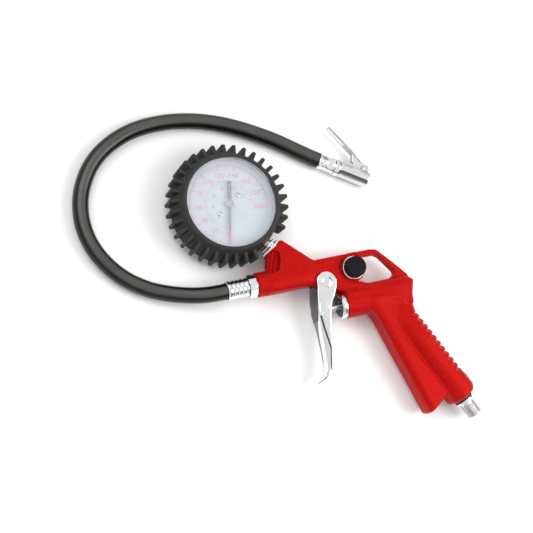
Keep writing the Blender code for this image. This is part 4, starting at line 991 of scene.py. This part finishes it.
GAUGE_PLACE = gauge_axes()
STEM_PLACE = gauge_axes(STEM_ANGLE)
LUG_PITCH = math.tau / 34
LUG_COUNT = 31
LUG_FIRST = STEM_ANGLE + 2.0 * LUG_PITCH
CARCASS = fillet_outline(
    [(34.0, -15.0), (43.5, -15.0), (45.4, -13.0), (45.4, -2.0), (44.2, 6.0), (42.8, 12.5), (41.6, 16.8),
     (40.0, 18.2), (37.9, 17.6), (37.9, 16.6), (40.4, 16.6), (40.4, -13.2), (34.0, -13.2)],
    [0.5, 1.5, 1.5, 3.0, 3.0, 3.0, 1.2, 1.0, 0.7, 0.0, 0.3, 0.3, 0.3])


def boot_field(p):
    """A thick rubber ring round the case, with straight rounded lugs and none at the stem."""
    x, y = np.broadcast_arrays(p[0], p[1])
    z = p[2]
    reach = np.hypot(x, y)
    turn = (np.arctan2(y, x) - LUG_FIRST + LUG_PITCH / 2) % math.tau
    number = np.floor(turn / LUG_PITCH)
    aside = np.abs((turn - (number + 0.5) * LUG_PITCH)) * reach
    wide = np.interp(reach, [42.0, 45.0, 47.0, 51.2], [2.1, 1.85, 1.8, 1.65])
    top = np.interp(reach, [42.0, 51.2], [13.0, 10.6])
    lug = corner(corner(aside - wide, reach - 51.2, 1.0), np.maximum(z - top, -9.0 - z), 1.3)
    lug = np.maximum(np.maximum(lug, 42.0 - reach), np.where(number < LUG_COUNT, -9.0, 3.0))
    ring = polygon_distance(*np.broadcast_arrays(reach, z), CARCASS)
    boot = blend(ring, lug, 0.7)
    return np.maximum(boot, -cylinder(p, ORIGIN, STEM_DIRECTION, 5.2, 30, 60, 0.1))


boot_mesh = solid("boot_rubber_ring", boot_field, (-52, -52, -16), (52, 52, 19), step=0.72)
settle(show("boot_rubber_ring", boot_mesh, GAUGE_PLACE), "gun", BOOT_RUBBER, "boot_rubber", "gauge_boot")
spun("gauge_rim", [(38.6, 12.1), (40.0, 12.1), (40.0, 16.2), (38.3, 16.2), (38.3, 15.2), (38.6, 15.2)], 0.15,
     GAUGE_PLACE, "gun", CHROME, "chrome_plate", "gauge_bezel", steps=96)

def clear_window():
    """A clear plastic window, faintly hazy, with wiped smears."""
    made = Finish("clear_window", (0.74, 0.77, 0.82), 0.08)
    smears = made.noise(38.0, 5.0)
    made.drive("Alpha", made.ramp(smears, [(0.25, 0.11), (0.75, 0.2)]))
    made.drive("Roughness", made.ramp(smears, [(0.3, 0.05), (0.7, 0.16)]))
    return made.material


def dial_white():
    """Bluish white enamel with a faint mottle."""
    made = Finish("dial_white", (0.78, 0.82, 0.9), 0.5)
    mottle = [(0.3, (0.56, 0.60, 0.65)), (0.7, (0.64, 0.67, 0.71))]
    made.drive("Base Color", made.ramp(made.noise(90.0, 4.0), mottle))
    made.drive("Roughness", made.ramp(made.noise(300.0), [(0.3, 0.42), (0.7, 0.58)]))
    return made.material


def ink(name, colour):
    """Printing ink, thin in places."""
    made = Finish(name, colour, 0.55)
    pale = tuple(0.75 * c + 0.2 for c in colour)
    made.drive("Base Color", made.ramp(made.noise(700.0, 3.0), [(0.35, colour), (0.7, pale)]))
    return made.material


DIAL_WHITE = dial_white()
RED_INK = ink("red_ink", (0.70, 0.36, 0.38))
GREY_INK = ink("grey_ink", (0.40, 0.42, 0.46))
POINTER_RED = ink("pointer_red", (0.75, 0.12, 0.12))
POINTER_GREY = ink("pointer_grey", (0.13, 0.135, 0.15))
spun("gauge_window", [(0, 12.6), (38.3, 12.6), (38.3, 14.6), (38.1, 14.8), (0, 14.8)], 0.0, GAUGE_PLACE,
     "gun", clear_window(), "lens", "gauge_lens", steps=96)
spun("dial_card", [(1.4, 6.4), (38.2, 6.4), (38.2, 7.2), (1.4, 7.2)], 0.1, GAUGE_PLACE, "gun", DIAL_WHITE,
     "dial_face", "dial_plate", steps=96)
spun("dial_surround", [(37.9, 7.3), (38.5, 7.3), (38.5, 12.4), (37.9, 12.4)], 0.15, GAUGE_PLACE, "gun",
     DIAL_WHITE, "dial_face", steps=96)

PRINT_LOW, PRINT_HIGH = 7.22, 7.3
ZERO_TURN = STEM_ANGLE - math.radians(48.0)
FULL_SWEEP = math.radians(270.0)
LARGEST = 200
BAR_SHARE = 14.504 / LARGEST


def dial_angle(share):
    return ZERO_TURN - FULL_SWEEP * share


class Print:
    """Flat printing on the dial, gathered into one piece."""

    def __init__(self):
        self.points, self.faces = [], []

    def flat(self, outline):
        count, start = len(outline), len(self.points)
        self.points += [(x, y, PRINT_LOW) for x, y in outline] + [(x, y, PRINT_HIGH) for x, y in outline]
        self.faces.append(tuple(range(start + count, start + 2 * count)))
        self.faces.append(tuple(reversed(range(start, start + count))))
        self.faces += [(start + k, start + (k + 1) % count, start + count + (k + 1) % count,
                        start + count + k) for k in range(count)]

    def tick(self, share, inner, outer, width):
        out = Vector((math.cos(dial_angle(share)), math.sin(dial_angle(share))))
        aside = Vector((-out.y, out.x)) * width / 2
        self.flat([tuple(out * inner - aside), tuple(out * outer - aside), tuple(out * outer + aside),
                   tuple(out * inner + aside)])

    def band(self, inner, outer, steps=60):
        """A thin line along the whole scale."""
        shares = [i / steps for i in range(steps + 1)]
        for a, b in zip(shares, shares[1:]):
            self.flat([(r * math.cos(dial_angle(s)), r * math.sin(dial_angle(s)))
                       for r, s in ((inner, a), (outer, a), (outer, b), (inner, b))])

    def text(self, words, centre, size, upright):
        """Words centred on a point, as flat letters."""
        shape = bpy.data.curves.new("words", "FONT")
        shape.body, shape.size = words, size
        shape.align_x, shape.align_y = "CENTER", "CENTER"
        shape.extrude = (PRINT_HIGH - PRINT_LOW) / 2
        shape.resolution_u = 3
        shape.offset = 0.03 * size
        thing = bpy.data.objects.new("words", shape)
        bpy.context.scene.collection.objects.link(thing)
        bpy.context.view_layer.update()
        mesh = thing.evaluated_get(bpy.context.evaluated_depsgraph_get()).to_mesh()
        start = len(self.points)
        turn = turn_z(upright)
        middle = Vector((*centre, (PRINT_LOW + PRINT_HIGH) / 2))
        self.points += [tuple(turn @ v.co + middle) for v in mesh.vertices]
        self.faces += [tuple(start + i for i in face.vertices) for face in mesh.polygons]
        bpy.data.objects.remove(thing)
        bpy.data.curves.remove(shape)

    def lay(self, name, finish):
        made = mesh_of(name, self.points, self.faces, 30)
        settle(show(name, made, GAUGE_PLACE), "gun", finish, "dial_face")


def print_dial():
    """An outer red scale to 200 and an inner grey one to 13.8, the same pressures in other units."""
    red, grey = Print(), Print()
    upright = math.radians(90.0) + ZERO_TURN
    for i in range(LARGEST // 5 + 1):
        share = i * 5 / LARGEST
        if i % 4 == 0:
            red.tick(share, 29.4, 33.6, 1.0)
            spot = Vector((math.cos(dial_angle(share)), math.sin(dial_angle(share)))) * 25.4
            red.text(str(i * 5), spot, 5.8, upright)
        elif i % 2 == 0:
            red.tick(share, 30.6, 33.6, 0.7)
        else:
            red.tick(share, 31.6, 33.6, 0.45)
    red.band(33.3, 34.0)
    for i in range(int(1 / BAR_SHARE * 2) + 1):
        share = i * BAR_SHARE / 2
        whole = i % 2 == 0
        grey.tick(share, 17.4 if whole else 18.6, 20.6, 0.6 if whole else 0.4)
        if i % 4 == 0:
            spot = Vector((math.cos(dial_angle(share)), math.sin(dial_angle(share)))) * 14.2
            grey.text(str(i // 2), spot, 4.6, upright)
    grey.band(20.4, 20.7)
    red.lay("dial_scale_red", RED_INK)
    grey.lay("dial_scale_grey", GREY_INK)


print_dial()
NEEDLE = gauge_axes(ZERO_TURN)
BLADE = [(-3.0, 1.5), (-3.0, -1.5), (20.0, -0.9), (24.0, -0.8), (24.0, 0.8), (20.0, 0.9)]
TIP = [(23.8, -0.8), (34.4, -0.4), (35.0, 0.0), (34.4, 0.4), (23.8, 0.8)]
TAIL = fillet_outline([(-19.6, 1.65), (-19.6, -1.65), (-4.0, -1.65), (-4.0, 1.65)], 0.5)
for name, outline, low, high, finish, *nodes in (
        ("pointer_blade", BLADE, 9.0, 9.6, POINTER_GREY, "gauge_pointer"),
        ("pointer_tip", TIP, 9.02, 9.58, POINTER_RED),
        ("pointer_tail", TAIL, 8.95, 9.65, POINTER_GREY)):
    needle = show(name, plate(name, outline, low, high, 0.1), NEEDLE)
    settle(needle, "pointer", finish, "pointer_paint", *nodes)
spun("pointer_hub", [(0.86, 8.7), (3.2, 8.7), (3.2, 10.3), (2.4, 10.8), (0.86, 10.8)], 0.25, NEEDLE,
     "pointer", STEEL, "pointer_paint", steps=48)

SOCKET = Matrix.Translation(GAUGE) @ along(STEM_DIRECTION)
spun("stem_neck", [(1.3, 30.0), (4.6, 30.0), (4.6, 62.0), (1.3, 62.0)], 0.2, SOCKET, "gun", STEEL, "brass",
     steps=48)
block = fillet_outline([(22.0, -7.5), (35.2, -7.5), (35.2, 7.5), (22.0, 7.5)], 0.8)
settle(show("stem_block", plate("stem_block", block, -8.2, 3.0, 0.4), STEM_PLACE), "gun", BRASS, "brass",
       "gauge_socket")
settle(show("stem_hexagon", nut("stem_hexagon", 14.0, 46.2, 48.7, 4.61, 0.5), SOCKET), "gun", CHROME, "brass")
settle(show("stem_locknut", nut("stem_locknut", 17.0, 49.0, 51.8, 4.9, 0.6), SOCKET), "gun", CHROME,
       "chrome_plate", "stem_lock_nut")
for label, sign in (("left", -1), ("right", 1)):
    spun(f"dial_screw_head_{label}", [(0, 2.6), (0.95, 2.6), (0.95, 7.5), (2.1, 7.5), (1.9, 8.2), (1.0, 8.5),
                                      (0, 8.5)], 0.15,
         STEM_PLACE @ Matrix.Translation((0.0, sign * 11.5, 0.0)), "gun", STEEL, "chrome_plate",
         f"dial_screw_{label}", steps=32)

# ---------------- carried-over nodes

SLOT_FINISH = {
    "body_paint": RED, "chrome_plate": CHROME, "spring_steel": STEEL, "case_steel": BLACK_STEEL,
    "brass": BRASS, "bronze": BRONZE, "boot_rubber": BOOT_RUBBER, "hose_rubber": HOSE_RUBBER,
    "seal_rubber": SEAL_RUBBER, "button_plastic": BLACK_PLASTIC, "lens": CHROME, "dial_face": DIAL_WHITE,
    "pointer_paint": POINTER_GREY,
}
for part in frame["record"]["subparts"]:
    node = frame["nodes"][part["node"]]
    node.data.materials.clear()
    node.data.materials.append(SLOT_FINISH[part["material_slot"]])
